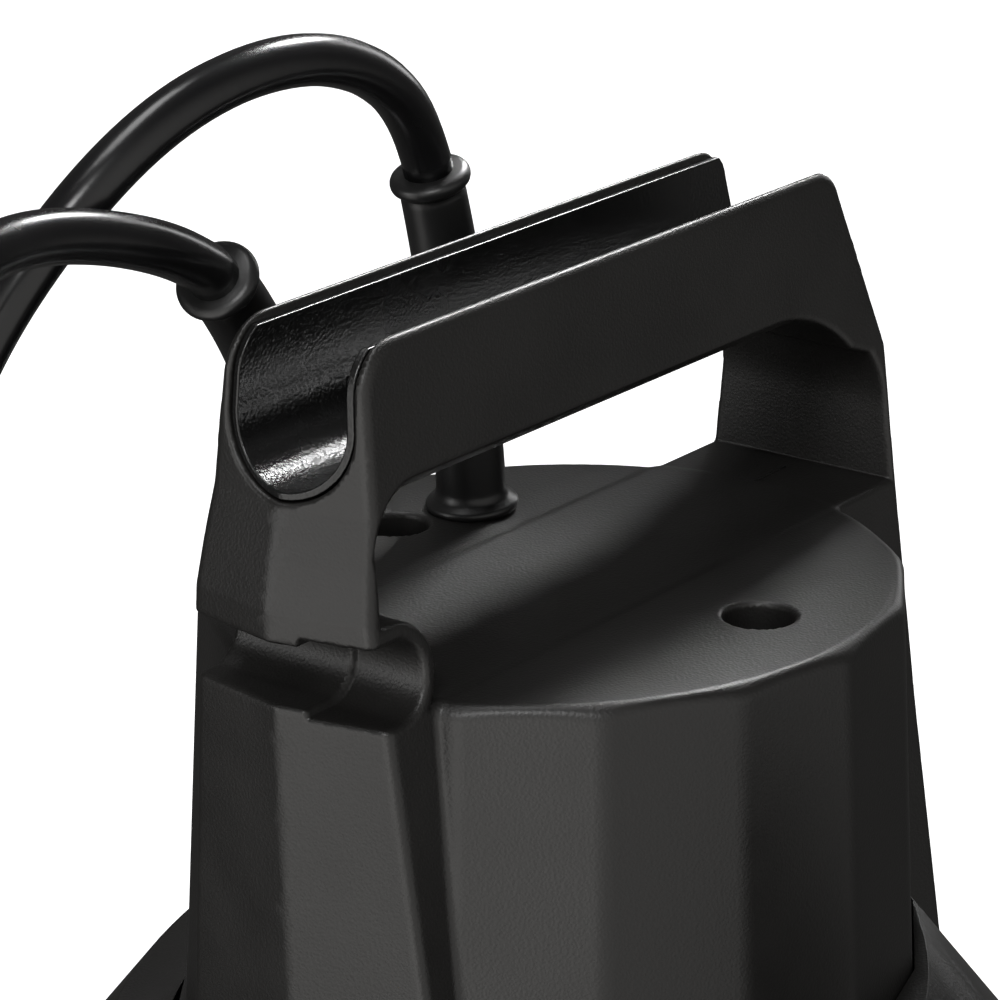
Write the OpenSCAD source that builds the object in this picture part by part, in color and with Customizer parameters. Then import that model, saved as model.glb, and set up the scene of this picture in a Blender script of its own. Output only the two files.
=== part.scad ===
// Submersible sump pump with a carrying handle, two cables, a float switch and a top discharge.
// Z = 0 is the floor under the feet, the motor axis is the Z axis and the handle runs along X.

/* [Overall] */
// Height of the flat top of the motor housing above the floor
crest_z = 205; // [200:1:215]
// Height of the handle above the flat top
handle_h = 58.2; // [56:0.2:60]
// Outer radius of the pump casing and of the strainer base
base_r = 100; // [98:1:104]
// Gap left between parts that only lie against each other
gap = 0.3; // [0.2:0.05:0.4]

/* [Motor housing] */
// Half length of the oval housing top, along the handle
housing_rx = 61.9; // [60:0.1:63]
// Half width of the oval housing top, across the handle
housing_ry = 57.6; // [56:0.1:59]
// Mould draft of the housing walls, in degrees
housing_draft = 2.9; // [2:0.1:3.5]
// Wall thickness of the housing
housing_wall = 3.4; // [3:0.1:4]
// Distance of the two deep screw holes from the mid-plane
screw_hole_y = 37.4; // [36:0.2:38]

/* [Handle] */
// Half thickness of the handle slab at the flat top
slab_half = 19; // [18:0.2:20]
// Radius of the rounded channel in the top of the grip
channel_r = 12.2; // [12:0.1:12.4]
// Wall thickness of the channel liner
liner_wall = 1.3; // [1.1:0.1:1.5]
// Radius of the cable groove behind the left leg
groove_r = 6.6; // [6.2:0.1:7]

/* [Cables] */
// Diameter of both cables
cable_d = 8.5; // [8.2:0.1:8.8]
// Diameter of the middle turns of the stored coil
coil_mid_d = 96; // [92:1:100]

/* [Motor] */
// Outer radius of the stator
stator_r = 43; // [42:0.5:44]
// Radius of the rotor
rotor_r = 24; // [23:0.5:25]
// Radius of the shaft below the rotor
shaft_r = 6; // [6:0.5:7]

/* [Pump] */
// Radius of the impeller
impeller_r = 42; // [40:1:43]
// Radius of the discharge bore
discharge_bore_r = 19.5; // [19:0.1:20]
// Distance of the discharge axis from the motor axis
discharge_y = 112; // [110:1:114]

/* [Hidden] */
$fn = 64;

// ---- derived sizes ----
draft = tan(housing_draft);
slab_draft = 0.1005;
slab_v = 11.3;
slab_foot = 97;
foot_inner_x = 68;
rim_z = 142;
seat_z = 118;
rim_tilt = 12.2;
shoulder_slope = 1.28;
shoulder_r = 62.5;
shoulder_end_z = rim_z - shoulder_slope * (base_r - shoulder_r);
casing_bottom = 44;
casing_wall = 3.5;
boot_y = 31.5;
boot_r = 6.1;
power_boot_x = 19;
float_boot_x = -26;
channel_z = 44.7;
grip_r = 15.2;
grip_z = 44.2;
groove_x = -66;
groove_z = 5.6;
groove_wall = 2.9;
capacitor_x = -55.4;
stator_low = 122;
stator_high = 164;
run_fit = 0.05;
volute_screw_r = 1.4;
impeller_z = 56;
port_top = 130;
valve_z = 112;
float_pivot = [-166, -66, 22.3];
nose_length = 18;

// ---- helpers ----
function arc(c, r, a0, a1, n = 8) =
    [for (i = [0:n]) c + r * [cos(a0 + (a1 - a0) * i / n), sin(a0 + (a1 - a0) * i / n)]];

function oval(grow) =
    [for (i = [0:15]) [(housing_rx + grow) * cos(22.5 * i), (housing_ry + grow) * sin(22.5 * i)]];

// Sixteen-sided oval block, wider at the bottom by the mould draft
module drafted_oval(z_low, z_high, grow) {
    low = oval(grow + (crest_z - z_low) * draft);
    high = oval(grow + (crest_z - z_high) * draft);
    points = concat([for (p = low) [p[0], p[1], z_low]], [for (p = high) [p[0], p[1], z_high]]);
    sides = [for (i = [0:15]) [i, i + 16, (i + 1) % 16 + 16, (i + 1) % 16]];
    polyhedron(points, concat([[for (i = [0:15]) i]], sides, [[for (i = [15:-1:0]) i + 16]]));
}

// A plate cut from an outline in the XZ plane, reaching half_y to both sides
module xz_plate(half_y) {
    translate([0, half_y, 0]) rotate([90, 0, 0]) linear_extrude(2 * half_y) children();
}

// A bar along X with the given YZ outline
module yz_bar(x0, x1) {
    translate([x0, 0, 0]) rotate([90, 0, 90]) linear_extrude(x1 - x0) children();
}

module ring(r_out, r_in, z0, z1) {
    translate([0, 0, z0]) difference() {
        cylinder(r = r_out, h = z1 - z0);
        translate([0, 0, -1]) cylinder(r = r_in, h = z1 - z0 + 2);
    }
}

module rod(r, z0, z1) {
    translate([0, 0, z0]) cylinder(r = r, h = z1 - z0);
}

function unit(v) = v / norm(v);
function tangent(p, i) =
    unit(p[min(i + 1, len(p) - 1)] - p[max(i - 1, 0)]);
// Side direction carried along the path, so that the tube doesn't twist
function carry(u, t) = unit(u - (u * t) * t);
function sides_of(p, i, u) =
    i >= len(p) ? [] : let (v = carry(u, tangent(p, i))) concat([v], sides_of(p, i + 1, v));

// Round tube of radius r swept along the points p
module tube(p, r, n = 10) {
    u = sides_of(p, 0, [0.3, 0.9, 0.2]);
    rings = [for (i = [0:len(p) - 1]) let (t = tangent(p, i), w = cross(t, u[i]))
        for (k = [0:n - 1]) p[i] + r * (cos(360 * k / n) * u[i] + sin(360 * k / n) * w)];
    walls = [for (i = [0:len(p) - 2]) for (k = [0:n - 1]) each [
        [i * n + k, i * n + (k + 1) % n, (i + 1) * n + k],
        [i * n + (k + 1) % n, (i + 1) * n + (k + 1) % n, (i + 1) * n + k]]];
    last = (len(p) - 1) * n;
    polyhedron(rings, concat([[for (k = [n - 1:-1:0]) k]], walls, [[for (k = [0:n - 1]) last + k]]));
}

// ---- handle and housing ----
// Outline of the handle and its two spines, x against height above the flat top
function slab_points(grow) = concat(
    [[-69.4 - grow, seat_z - crest_z - grow], [-71.1 - grow, -50], [-73.4 - grow, 0.6],
     [-75.1 - grow, 11.5], [-75.2 - grow, 16], [-73.8 - grow, 24], [-71.9 - grow, 32]],
    arc([-61.9, handle_h - 9], 9, 174, 90),
    arc([61, handle_h - 6.5], 6.5, 90, 14),
    [[79.6 + grow, 24.5], [81.1 + grow, 0], [84.4 + grow, -42], [90.2 + grow, -slab_foot - grow],
     [foot_inner_x - grow, -slab_foot - grow], [foot_inner_x - grow, seat_z - crest_z - grow]]);

module hand_hole_outline() {
    difference() {
        polygon(concat(
            [[-62, 0], [-62, 13], [-68.6, 15.5], [-68.4, 19.7]],
            arc([-57.4, 24.6], 11, 180, 90),
            arc([42, 2.6], 33, 90, 45),
            arc([58, 13], 17, 40, 0, 5),
            [[75.2, 0]]));
        translate([groove_x, groove_z]) circle(r = groove_r + groove_wall);
    }
}

module groove_outline() {
    translate([groove_x, groove_z]) circle(r = groove_r);
    translate([groove_x - 20, groove_z - groove_r]) square([20, 2 * groove_r]);
}

// Drafted sides of the handle slab
module slab_limits(grow) {
    low = slab_half + grow + 110 * slab_draft;
    high = slab_half + grow - 65 * slab_draft;
    yz_bar(-99, 99)
        polygon([[-low, crest_z - 110], [low, crest_z - 110], [high, crest_z + 65], [-high, crest_z + 65]]);
}

// A plate of the slab's outline, turned a little about the motor axis
module slab_plate(grow, turn) {
    translate([0, 0, crest_z]) rotate([0, 0, turn]) xz_plate(70)
        polygon([for (p = slab_points(grow)) [p[0] * cos(turn), p[1]]]);
}

// The slab without its holes: where two crossed plates meet, its ends are shallow ridges
module slab_block(grow) {
    intersection() {
        slab_limits(grow);
        slab_plate(grow, slab_v);
        slab_plate(grow, -slab_v);
    }
}

module channel_outline(grow) {
    r = channel_r + grow;
    polygon(concat(arc([0, crest_z + channel_z], r, 180, 360, 24),
                   [[r - 0.9, crest_z + handle_h + 2], [-r + 0.9, crest_z + handle_h + 2]]));
}

module handle_slab() {
    difference() {
        slab_block(0);
        translate([0, 0, crest_z]) xz_plate(40) hand_hole_outline();
        translate([0, 0, crest_z]) xz_plate(40) groove_outline();
    }
    // rounded belly of the grip
    intersection() {
        slab_limits(0);
        translate([0, 0, crest_z + grip_z]) rotate([0, 90, 0])
            translate([0, 0, -68]) cylinder(r = grip_r, h = 138);
        translate([-70, -30, crest_z]) cube([140, 60, grip_z]);
    }
}

// Flat top with a softly rounded rim
module dome_space() {
    rotate_extrude($fn = 96)
        polygon(concat([[0, seat_z], [90, seat_z], [90, crest_z - 14]],
                       [[66, crest_z - 4.2], [61.5, crest_z - 1.7], [57, crest_z - 0.5],
                        [52, crest_z], [0, crest_z]]));
}

module boss_places() {
    for (a = [45, 135, 225, 315])
        translate([55 * cos(a), 52 * sin(a), 0]) children();
}

module upper_housing() {
    color([0.055, 0.055, 0.06]) difference() {
        union() {
            intersection() {
                drafted_oval(seat_z, crest_z, 0);
                dome_space();
            }
            handle_slab();
        }
        yz_bar(-95, 95) channel_outline(0);
        // motor chamber, with room for the capacitor in the left spine
        difference() {
            union() {
                drafted_oval(seat_z - 1, crest_z - 7, -housing_wall);
                translate([-64.8, -15, seat_z - 1]) cube([25, 30, crest_z - seat_z - 9]);
            }
            boss_places() rod(5.5, seat_z - 2, 152);
            for (s = [-1, 1]) translate([4.4, s * screw_hole_y, 0]) rod(8, 183.3, crest_z);
        }
        boss_places() rod(2.1, seat_z - 2, 146);
        for (s = [-1, 1]) translate([4.4, s * screw_hole_y, 0]) {
            rod(6, 191, crest_z + 1);
            rod(2.8, 180, 192);
        }
        for (x = [power_boot_x, float_boot_x]) translate([x, boot_y, 0]) rod(6.6, 190, crest_z + 1);
    }
}

module channel_liner() {
    color([0.035, 0.035, 0.04]) intersection() {
        difference() {
            yz_bar(-95, 95) channel_outline(-gap);
            yz_bar(-96, 96) channel_outline(-gap - liner_wall);
        }
        translate([0, 0, -0.4]) slab_plate(-0.6, slab_v);
        translate([0, 0, -0.4]) slab_plate(-0.6, -slab_v);
    }
}

module top_screws() {
    color([0.62, 0.63, 0.65]) for (s = [-1, 1]) translate([4.4, s * screw_hole_y, 0]) difference() {
        union() {
            rod(2.5, 176, 191.2);
            rod(4.8, 191, 194.4);
        }
        translate([-3.2, -0.6, 193.2]) cube([6.4, 1.2, 2]);
        translate([-0.6, -3.2, 193.2]) cube([1.2, 6.4, 2]);
    }
}

// ---- cable entries ----
// Each boot leans over along an arc: its foot, the way it leans, the arc's radius and its two leans
power_boot_bend = [[19, boot_y, crest_z], 180, 270, 4, 17.6];
float_boot_bend = [[-26, boot_y, crest_z], 190.3, 88.4, 4, 48];
function lean_out(bend, a) = bend[2] * (cos(bend[3]) - cos(a));
function lean_up(bend, a) = bend[2] * (sin(a) - sin(bend[3]));

// Bend protector: a foot in the roof, a sleeve that leans over and a rolled rim at its mouth
module boot(bend) {
    translate(bend[0]) {
        rotate([0, 0, bend[1]]) {
            translate([bend[2] * cos(bend[3]), 0, -bend[2] * sin(bend[3])]) rotate([90, 0, 0])
                rotate([0, 0, 180 - bend[4]]) rotate_extrude(angle = bend[4] - bend[3], $fn = 96)
                    translate([bend[2], 0]) circle(r = boot_r, $fn = 48);
            translate([lean_out(bend, bend[4]), 0, lean_up(bend, bend[4])]) rotate([0, bend[4], 0])
                translate([0, 0, -2.2]) rim_of_boot();
        }
        translate([0, 0, -13]) cylinder(r = boot_r, h = 13.4);
        translate([0, 0, 0.2]) cylinder(r = 8.2, h = 2);
    }
}

module rim_of_boot() {
    rotate_extrude() polygon(concat([[0, 0]], arc([5.6, 1.3], 1.3, -90, 90, 6), [[0, 2.6]]));
}

module power_boot() {
    color([0.06, 0.06, 0.06]) boot(power_boot_bend);
}

module float_boot() {
    color([0.06, 0.06, 0.06]) boot(float_boot_bend);
}

module gland_nut(x) {
    translate([x, boot_y, 0]) difference() {
        translate([0, 0, 193.2]) cylinder(r = 8.4, h = 4.5, $fn = 6);
        rod(boot_r + 0.1, 190, 200);
    }
}

module power_gland_nut() { color([0.75, 0.68, 0.4]) gland_nut(power_boot_x); }
module float_gland_nut() { color([0.75, 0.68, 0.4]) gland_nut(float_boot_x); }

// ---- motor ----
module bearing_bracket() {
    color([0.6, 0.6, 0.62]) difference() {
        union() {
            rod(46, 179, 183);
            rod(13, 168, 180);
        }
        rod(9.5, 160, 177);
        rod(5, 160, 190);
        for (s = [-1, 1]) translate([4.4, s * screw_hole_y, 0]) rod(2.4, 170, 190);
        for (a = [0, 180]) rotate([0, 0, a + 45]) translate([30, 0, 0]) rod(8, 170, 190);
    }
}

module upper_bearing() { color([0.72, 0.72, 0.74]) ring(9.5, 4 + run_fit, 169, 177); }

module stator_core() {
    color([0.42, 0.42, 0.44]) difference() {
        ring(stator_r, rotor_r + 0.6, stator_low, stator_high);
        for (i = [0:11]) rotate([0, 0, 30 * i]) translate([rotor_r + 3, -3, stator_low - 1])
            cube([10, 6, stator_high - stator_low + 2]);
    }
}

// Copper end turns above and below the stator, as two closed rings
module stator_windings() {
    color([0.65, 0.34, 0.16]) for (z = [stator_low - 6.5, stator_high + 6.5])
        translate([0, 0, z]) rotate_extrude() translate([33, 0]) circle(r = 6.2, $fn = 24);
}

module terminal_block() {
    color([0.85, 0.82, 0.72]) difference() {
        translate([-16, 8, 183.3]) cube([26, 12, 9]);
        for (i = [0:2]) translate([-11 + 8 * i, 14, 186]) cylinder(r = 2, h = 12);
    }
}

module run_capacitor() {
    color([0.78, 0.78, 0.8]) translate([capacitor_x, 0, 0]) {
        rod(7.8, 124, 186);
        for (s = [-1, 1]) translate([0, 3 * s, 0]) rod(0.9, 185, 192);
    }
}

module capacitor_clip() {
    color([0.6, 0.6, 0.62]) translate([capacitor_x, 0, 0]) difference() {
        union() {
            rod(9.1, 150, 158);
            translate([-1.5, -12, 150]) cube([3, 24, 8]);
        }
        rod(7.9, 149, 159);
    }
}

module rotor_core() {
    color([0.35, 0.35, 0.37]) difference() {
        rod(rotor_r, stator_low, stator_high);
        rod(shaft_r, stator_low - 1, stator_high + 1);
    }
}

module rotor_end_rings() {
    color([0.7, 0.7, 0.72]) {
        ring(rotor_r - 3, 12, stator_low - 4, stator_low);
        ring(rotor_r - 3, 12, stator_high, stator_high + 3.5);
    }
}

module shaft() {
    color([0.76, 0.77, 0.79]) {
        rod(shaft_r, impeller_z, 168);
        rod(4, 168, 178);
        rod(4, 47, impeller_z);
    }
}

module lower_bearing() { color([0.72, 0.72, 0.74]) ring(14, shaft_r + run_fit, 98, 107); }

module seal_plate() {
    color([0.16, 0.16, 0.17]) difference() {
        union() {
            rod(62.5, 92, seat_z - 2 * gap - 15);
            rod(45, 90, 100);
            rod(18, 92, 108);
        }
        rod(14, 98, 110);
        rod(11, 80, 94);
        rod(shaft_r + 1, 80, 110);
        boss_places() rod(2.8, 80, 110);
        volute_screw_places() rod(volute_screw_r + 0.1, 90, 98.3);
    }
    color([0.16, 0.16, 0.17]) ring(61.5, 58.5, seat_z - 2 * gap - 15, seat_z - 3);
}

module housing_seal() { color([0.03, 0.03, 0.03]) ring(61.5, 58.5, seat_z - 3, seat_z - gap); }

module seal_seat() { color([0.85, 0.85, 0.83]) ring(11, shaft_r + 1, 90, 94); }

module seal_head() { color([0.12, 0.12, 0.13]) ring(10, shaft_r, 79.2, 89.8); }

module housing_screws() {
    color([0.62, 0.63, 0.65]) boss_places() {
        rod(2.5, 91.6, 142);
        rod(4.6, 89.8, 92);
    }
}

// ---- pump ----
module impeller() {
    color([0.2, 0.2, 0.21]) {
        difference() {
            union() {
                rod(impeller_r, impeller_z + 18, impeller_z + 21);
                rod(10, impeller_z, impeller_z + 23);
            }
            rod(shaft_r, impeller_z - 1, impeller_z + 30);
        }
        for (i = [0:5]) rotate([0, 0, 60 * i]) difference() {
            translate([24, 0, impeller_z + 0.6]) cylinder(r = 16.2, h = 17.8);
            translate([24, 0, impeller_z - 1]) cylinder(r = 13.4, h = 24);
            translate([5, -20, impeller_z - 1]) cube([40, 20, 24]);
        }
    }
}

module impeller_nut() {
    color([0.78, 0.7, 0.42]) difference() {
        translate([0, 0, 49]) cylinder(r = 8, h = impeller_z - 49, $fn = 6);
        rod(4, 48, 60);
    }
}

module discharge_elbow_outside() {
    translate([0, -discharge_y, 50]) cylinder(r = discharge_bore_r + 7, h = port_top - 50);
    translate([0, -40, 68]) rotate([90, 0, 0]) cylinder(r = 17, h = discharge_y - 45);
}

module volute_screw_places() {
    for (a = [20, 160, 200, 340]) rotate([0, 0, a]) translate([53, 0, 0]) children();
}

module volute() {
    color([0.08, 0.08, 0.085]) difference() {
        union() {
            rod(56, 50, 91.7);
            discharge_elbow_outside();
        }
        rod(50, 53.5, 93);
        boss_places() rod(5.1, 89.4, 93);
        rod(22, 40, 60);
        translate([0, -40, 68]) rotate([90, 0, 0]) cylinder(r = 13.5, h = discharge_y - 45);
        translate([0, -discharge_y, 54]) cylinder(r = 16, h = 60);
        translate([0, -discharge_y, valve_z]) cylinder(r = discharge_bore_r, h = 30);
        volute_screw_places() {
            rod(volute_screw_r + 0.1, 70, 93);
            rod(2.4, 40, 80);
        }
    }
}

module volute_screws() {
    color([0.62, 0.63, 0.65]) volute_screw_places() {
        rod(volute_screw_r, 79, 98);
        rod(2.2, 78, 80);
    }
}

module strainer_screw_places() {
    for (a = [60, 180, 300]) rotate([0, 0, a]) translate([base_r - 7, 0, 0]) children();
}

// Sloping shoulder and skirt around the pump, with a close seat for the motor housing
module pump_casing() {
    color([0.05, 0.05, 0.055]) difference() {
        union() {
            rotate_extrude($fn = 128) polygon([
                [shoulder_r - 5, rim_z], [shoulder_r, rim_z], [base_r, shoulder_end_z],
                [base_r, casing_bottom], [base_r - casing_wall, casing_bottom],
                [base_r - casing_wall, shoulder_end_z - 1.6], [shoulder_r - 5, rim_z - 7]]);
            intersection() {
                union() {
                    drafted_oval(seat_z - 6, rim_z + 1, 3);
                    translate([-95, -34, seat_z - 14]) cube([190, 68, rim_z - seat_z + 16]);
                }
                under_shoulder();
            }
            strainer_screw_places() rod(5.8, casing_bottom + 0.5, casing_bottom + 18);
        }
        above_rim();
        drafted_oval(seat_z - 7.5, rim_z + 1, gap);
        slab_block(gap);
        rod(63, seat_z - 30, seat_z);
        translate([0, -discharge_y, 40]) cylinder(r = discharge_bore_r + 7 + gap, h = 120);
        strainer_screw_places() rod(2.1, casing_bottom - 1, casing_bottom + 16);
    }
}

// The rim slopes down to the left spine's end
module above_rim() {
    translate([-70, -100, seat_z + 1]) rotate([0, -rim_tilt, 0]) translate([-80, 0, 0]) cube([280, 200, 80]);
}

// Room under the shoulder, well inside its wall
module under_shoulder() {
    low = seat_z - 14;
    rotate_extrude($fn = 128) polygon([
        [0, low], [0, rim_z - 1], [shoulder_r - 2, rim_z - 1],
        [shoulder_r - 2 + (rim_z - 1 - low) / shoulder_slope, low]]);
}

module discharge_seat() {
    color([0.1, 0.1, 0.105]) translate([0, -discharge_y, 0]) difference() {
        union() {
            ring(discharge_bore_r - 0.1, 13, valve_z, valve_z + 3);
            for (s = [-1, 1]) translate([6 * s - 1.5, 13.2, valve_z + 2]) cube([3, 4, 6]);
        }
        translate([-10, 15.2, valve_z + 5.6]) rotate([0, 90, 0]) cylinder(r = 1.2, h = 20);
    }
}

module flap_pin() {
    color([0.76, 0.77, 0.79]) translate([-7.4, 15.2 - discharge_y, valve_z + 5.6])
        rotate([0, 90, 0]) cylinder(r = 1.15, h = 14.8);
}

module check_flap() {
    color([0.04, 0.04, 0.04]) translate([0, -discharge_y, 0]) difference() {
        union() {
            rod(14.4, valve_z + 3.3, valve_z + 6.3);
            translate([-4.2, 6, valve_z + 3.4]) cube([8.4, 9.2, 2.9]);
            translate([-4.2, 15.2, valve_z + 5.6]) rotate([0, 90, 0]) cylinder(r = 2.3, h = 8.4);
        }
        for (s = [-1, 1]) translate([6 * s - 1.9, 10.2, valve_z]) cube([3.8, 10, 10]);
        translate([-10, 15.2, valve_z + 5.6]) rotate([0, 90, 0]) cylinder(r = 1.22, h = 20);
    }
}

module discharge_adapter() {
    color([0.09, 0.09, 0.095]) translate([0, -discharge_y, 0]) difference() {
        union() {
            rod(discharge_bore_r - 0.1, 121, port_top + 3);
            translate([0, 0, port_top + 2.2]) cylinder(r = 27.5, h = 10, $fn = 8);
            rod(19, port_top + 12, port_top + 42);
        }
        rod(17.4, 110, port_top + 50);
    }
}

module adapter_seal() {
    color([0.03, 0.03, 0.03]) translate([0, -discharge_y, 0])
        ring(24, discharge_bore_r + 0.2, port_top, port_top + 2.2);
}

// ---- base ----
module strainer_base() {
    color([0.05, 0.05, 0.055]) difference() {
        union() {
            ring(base_r, base_r - 3.5, 8, casing_bottom - gap);
            rod(base_r - 3, 8, 11.5);
            strainer_screw_places() rod(5.8, 8, casing_bottom - gap);
        }
        for (i = [0:35]) if (i % 12 != 6) rotate([0, 0, 10 * i])
            translate([base_r - 8, -3.2, 16]) cube([14, 6.4, 21]);
        strainer_screw_places() {
            rod(2.6, 0, 60);
            rod(4.9, 0, 12);
        }
        for (i = [0:11]) rotate([0, 0, 30 * i + 15]) translate([46, -2.5, 0]) cube([30, 5, 20]);
        foot_places() rod(3, 0, 20);
    }
}

module strainer_screws() {
    color([0.62, 0.63, 0.65]) strainer_screw_places() {
        rod(2.1, 11, casing_bottom + 12);
        rod(4.5, 9, 12);
    }
}

// Four feet near the edge and one in the middle
module foot_places() {
    for (a = [45, 135, 225, 315]) rotate([0, 0, a]) translate([84, 0, 0]) children();
    children();
}

module rubber_feet() {
    color([0.03, 0.03, 0.03]) foot_places() {
        rod(9, 0, 8);
        rod(2.9, 7, 14);
    }
}

// ---- power cord, coil and plug ----
// From the power boot over and down to the floor, then into the outer turn of the coil
power_route = [[7, 31.5, 267.8], [6, 31.5, 270.9], [2.5, 30.8, 277.5], [-5, 30, 285],
               [-14.5, 29.6, 290.2], [-24.6, 29.6, 293.2], [-35.2, 30, 294.2], [-46, 31, 293.2],
               [-56, 32.4, 290.4], [-65.6, 34, 285.6], [-74, 36, 279.3], [-81, 38.6, 271.7],
               [-87, 41.8, 263], [-94, 47, 246], [-100, 52, 224], [-105, 56, 198],
               [-108.5, 59, 170], [-110, 61, 140], [-109, 62.5, 110], [-107, 64, 82],
               [-105, 66.5, 58], [-103.5, 72, 34], [-103, 84, 15], [-103, 99, 6.5],
               [-105, 116, 4.4], [-112, 135, 4.3], [-125, 150, 4.3], [-144, 160, 4.3]];
coil_center = [-168, 106];
coil_height = 3 * cable_d;

module power_cord() {
    color([0.03, 0.03, 0.035]) {
        tube(power_route, cable_d / 2);
        tube(plug_lead, cable_d / 2);
    }
}
// From the top of the coil's inner turns over the coil to the plug beside it
plug_lead = [[-148.2, 140.2, 21.3], [-160.5, 147.5, 26], [-174, 153.5, 29.9], [-189, 155.5, 30.4],
             [-204, 153.5, 29.8], [-217, 147, 26.2], [-228, 138, 19.5], [-235.5, 126.5, 14.6],
             [-239.7, 115.4, 12.9], [-240, 112.5, 12.9]];

module power_cord_coil() {
    color([0.03, 0.03, 0.035]) translate([coil_center[0], coil_center[1], 0])
        ring(coil_mid_d / 2 + 1.5 * cable_d, coil_mid_d / 2 - 1.5 * cable_d, 0, coil_height);
}

module coil_tie() {
    color([0.02, 0.02, 0.02]) translate([coil_center[0] + coil_mid_d / 2, coil_center[1], coil_height / 2])
        difference() {
            cube([3.6 * cable_d, 8, coil_height + 1.4], center = true);
            cube([3.2 * cable_d, 9, coil_height + 0.4], center = true);
        }
}

// The plug lies beside the coil, its blades pointing away from the lead
plug_place = [-240, 112.5, 12.9];
plug_turn = 264;
module at_plug() { translate(plug_place) rotate([0, 0, plug_turn]) children(); }

module plug_body() {
    color([0.04, 0.04, 0.045]) at_plug() difference() {
        union() {
            rotate([0, 90, 0]) cylinder(r1 = 6.2, r2 = 9, h = 26);
            translate([24, 0, 0]) rotate([0, 90, 0]) cylinder(r = 12.8, h = 20);
        }
        for (s = [-1, 1]) translate([36, 6.35 * s - 0.8, -3.3]) cube([10, 1.6, 6.6]);
        translate([34, 0, -8]) rotate([0, 90, 0]) cylinder(r = 2.4, h = 12);
    }
}

module plug_blades() {
    color([0.78, 0.7, 0.42]) at_plug() for (s = [-1, 1])
        translate([37, 6.35 * s - 0.75, -3.2]) cube([25, 1.5, 6.4]);
}

module plug_earth_pin() {
    color([0.78, 0.7, 0.42]) at_plug() translate([35, 0, -8]) rotate([0, 90, 0])
        cylinder(r = 2.38, h = 30);
}

// ---- float switch ----
// From the float boot over and down to the float, which lies on the floor
float_route = [[-54.6, 26.3, 264.5], [-56.8, 25.9, 266.5], [-64, 24.7, 270.6], [-73.4, 24.2, 274.6],
               [-83.4, 24.5, 277.8], [-93.8, 24.8, 280.2], [-104.4, 24.6, 281], [-116, 23, 279.3],
               [-127, 20.5, 274.5], [-137, 17, 266.5], [-145, 13.5, 256], [-151.5, 9.5, 243],
               [-157, 5, 227], [-161, 0, 207], [-164, -5, 184], [-166, -10, 158],
               [-167, -14, 132], [-167, -17, 107], [-166.5, -19, 84], [-166, -20.7, 62],
               [-166, -26, 42.5], [-166, -40.5, 27.7], [-166, -57.7, 22.3], [-166, -60.7, 22.3]];

module float_cord() { color([0.03, 0.03, 0.035]) tube(float_route, cable_d / 2); }

// The float swings about the round tip of its nose, where the cable goes in
module at_float() { translate(float_pivot + [0, -nose_length, 0]) children(); }

module float_nose() {
    color([0.05, 0.05, 0.05]) at_float() rotate([-90, 0, 0]) {
        translate([0, 0, -2]) cylinder(r1 = 10.4, r2 = 5, h = nose_length + 2);
        translate([0, 0, nose_length]) sphere(r = 5);
    }
}

// Half of the flat capsule: an oval box 96 long, 76 wide and 44 high
module float_half(s) {
    module capsule(grow) {
        hull() for (x = [-16, 16]) for (y = [-24, -76])
            translate([x, y, -1]) sphere(r = 21 + grow, $fn = 32);
    }
    intersection() {
        difference() {
            capsule(0);
            capsule(-2.4);
            rotate([-90, 0, 0]) translate([0, 0, -20]) cylinder(r = 10.6, h = 40);
        }
        translate([-60, -110, s > 0 ? -0.9 : -40]) cube([120, 120, s > 0 ? 40 : 38.9]);
    }
}

module float_lower_shell() { color([0.06, 0.06, 0.065]) at_float() float_half(-1); }
module float_upper_shell() { color([0.06, 0.06, 0.065]) at_float() float_half(1); }

module ball_tube() {
    color([0.85, 0.85, 0.82]) at_float() translate([0, 0, 0]) rotate([90, 0, 0]) difference() {
        translate([0, 0, 34]) cylinder(r = 9, h = 46);
        translate([0, 0, 36]) cylinder(r = 7.4, h = 42);
        translate([-3, 0, 30]) cube([6, 12, 10]);
    }
}

module tilt_ball() {
    color([0.78, 0.79, 0.8]) at_float() translate([0, -70.4, 0]) sphere(r = 7.2);
}

module micro_switch() {
    color([0.1, 0.1, 0.11]) at_float() translate([-10, -32, -6]) cube([20, 8, 12]);
}

module switch_lever() {
    color([0.78, 0.79, 0.8]) at_float() translate([0, -39.2, 5]) {
        translate([-2, -1.8, -9]) cube([4, 0.5, 9]);
        translate([-2, -1.8, -0.6]) cube([4, 3.2, 0.6]);
    }
}

upper_housing();
channel_liner();
top_screws();
power_boot();
float_boot();
power_gland_nut();
float_gland_nut();
bearing_bracket();
upper_bearing();
stator_core();
stator_windings();
terminal_block();
run_capacitor();
capacitor_clip();
rotor_core();
rotor_end_rings();
shaft();
lower_bearing();
seal_plate();
housing_seal();
seal_seat();
seal_head();
housing_screws();
impeller();
impeller_nut();
volute();
volute_screws();
pump_casing();
discharge_seat();
flap_pin();
check_flap();
discharge_adapter();
adapter_seal();
strainer_base();
strainer_screws();
rubber_feet();
power_cord();
power_cord_coil();
coil_tie();
plug_body();
plug_blades();
plug_earth_pin();
float_cord();
float_nose();
float_lower_shell();
float_upper_shell();
ball_tube();
tilt_ball();
micro_switch();
switch_lever();
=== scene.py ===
"""A submersible sump pump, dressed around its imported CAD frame.

Sizes inside the classes are in millimetres in the pump's own frame: the floor is z = 0, the motor axis is
the Z axis and the handle runs along X.  Meshes are written in metres.
"""

import logging
import math
from collections.abc import Callable, Sequence
from dataclasses import dataclass, field
from enum import Enum

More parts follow.
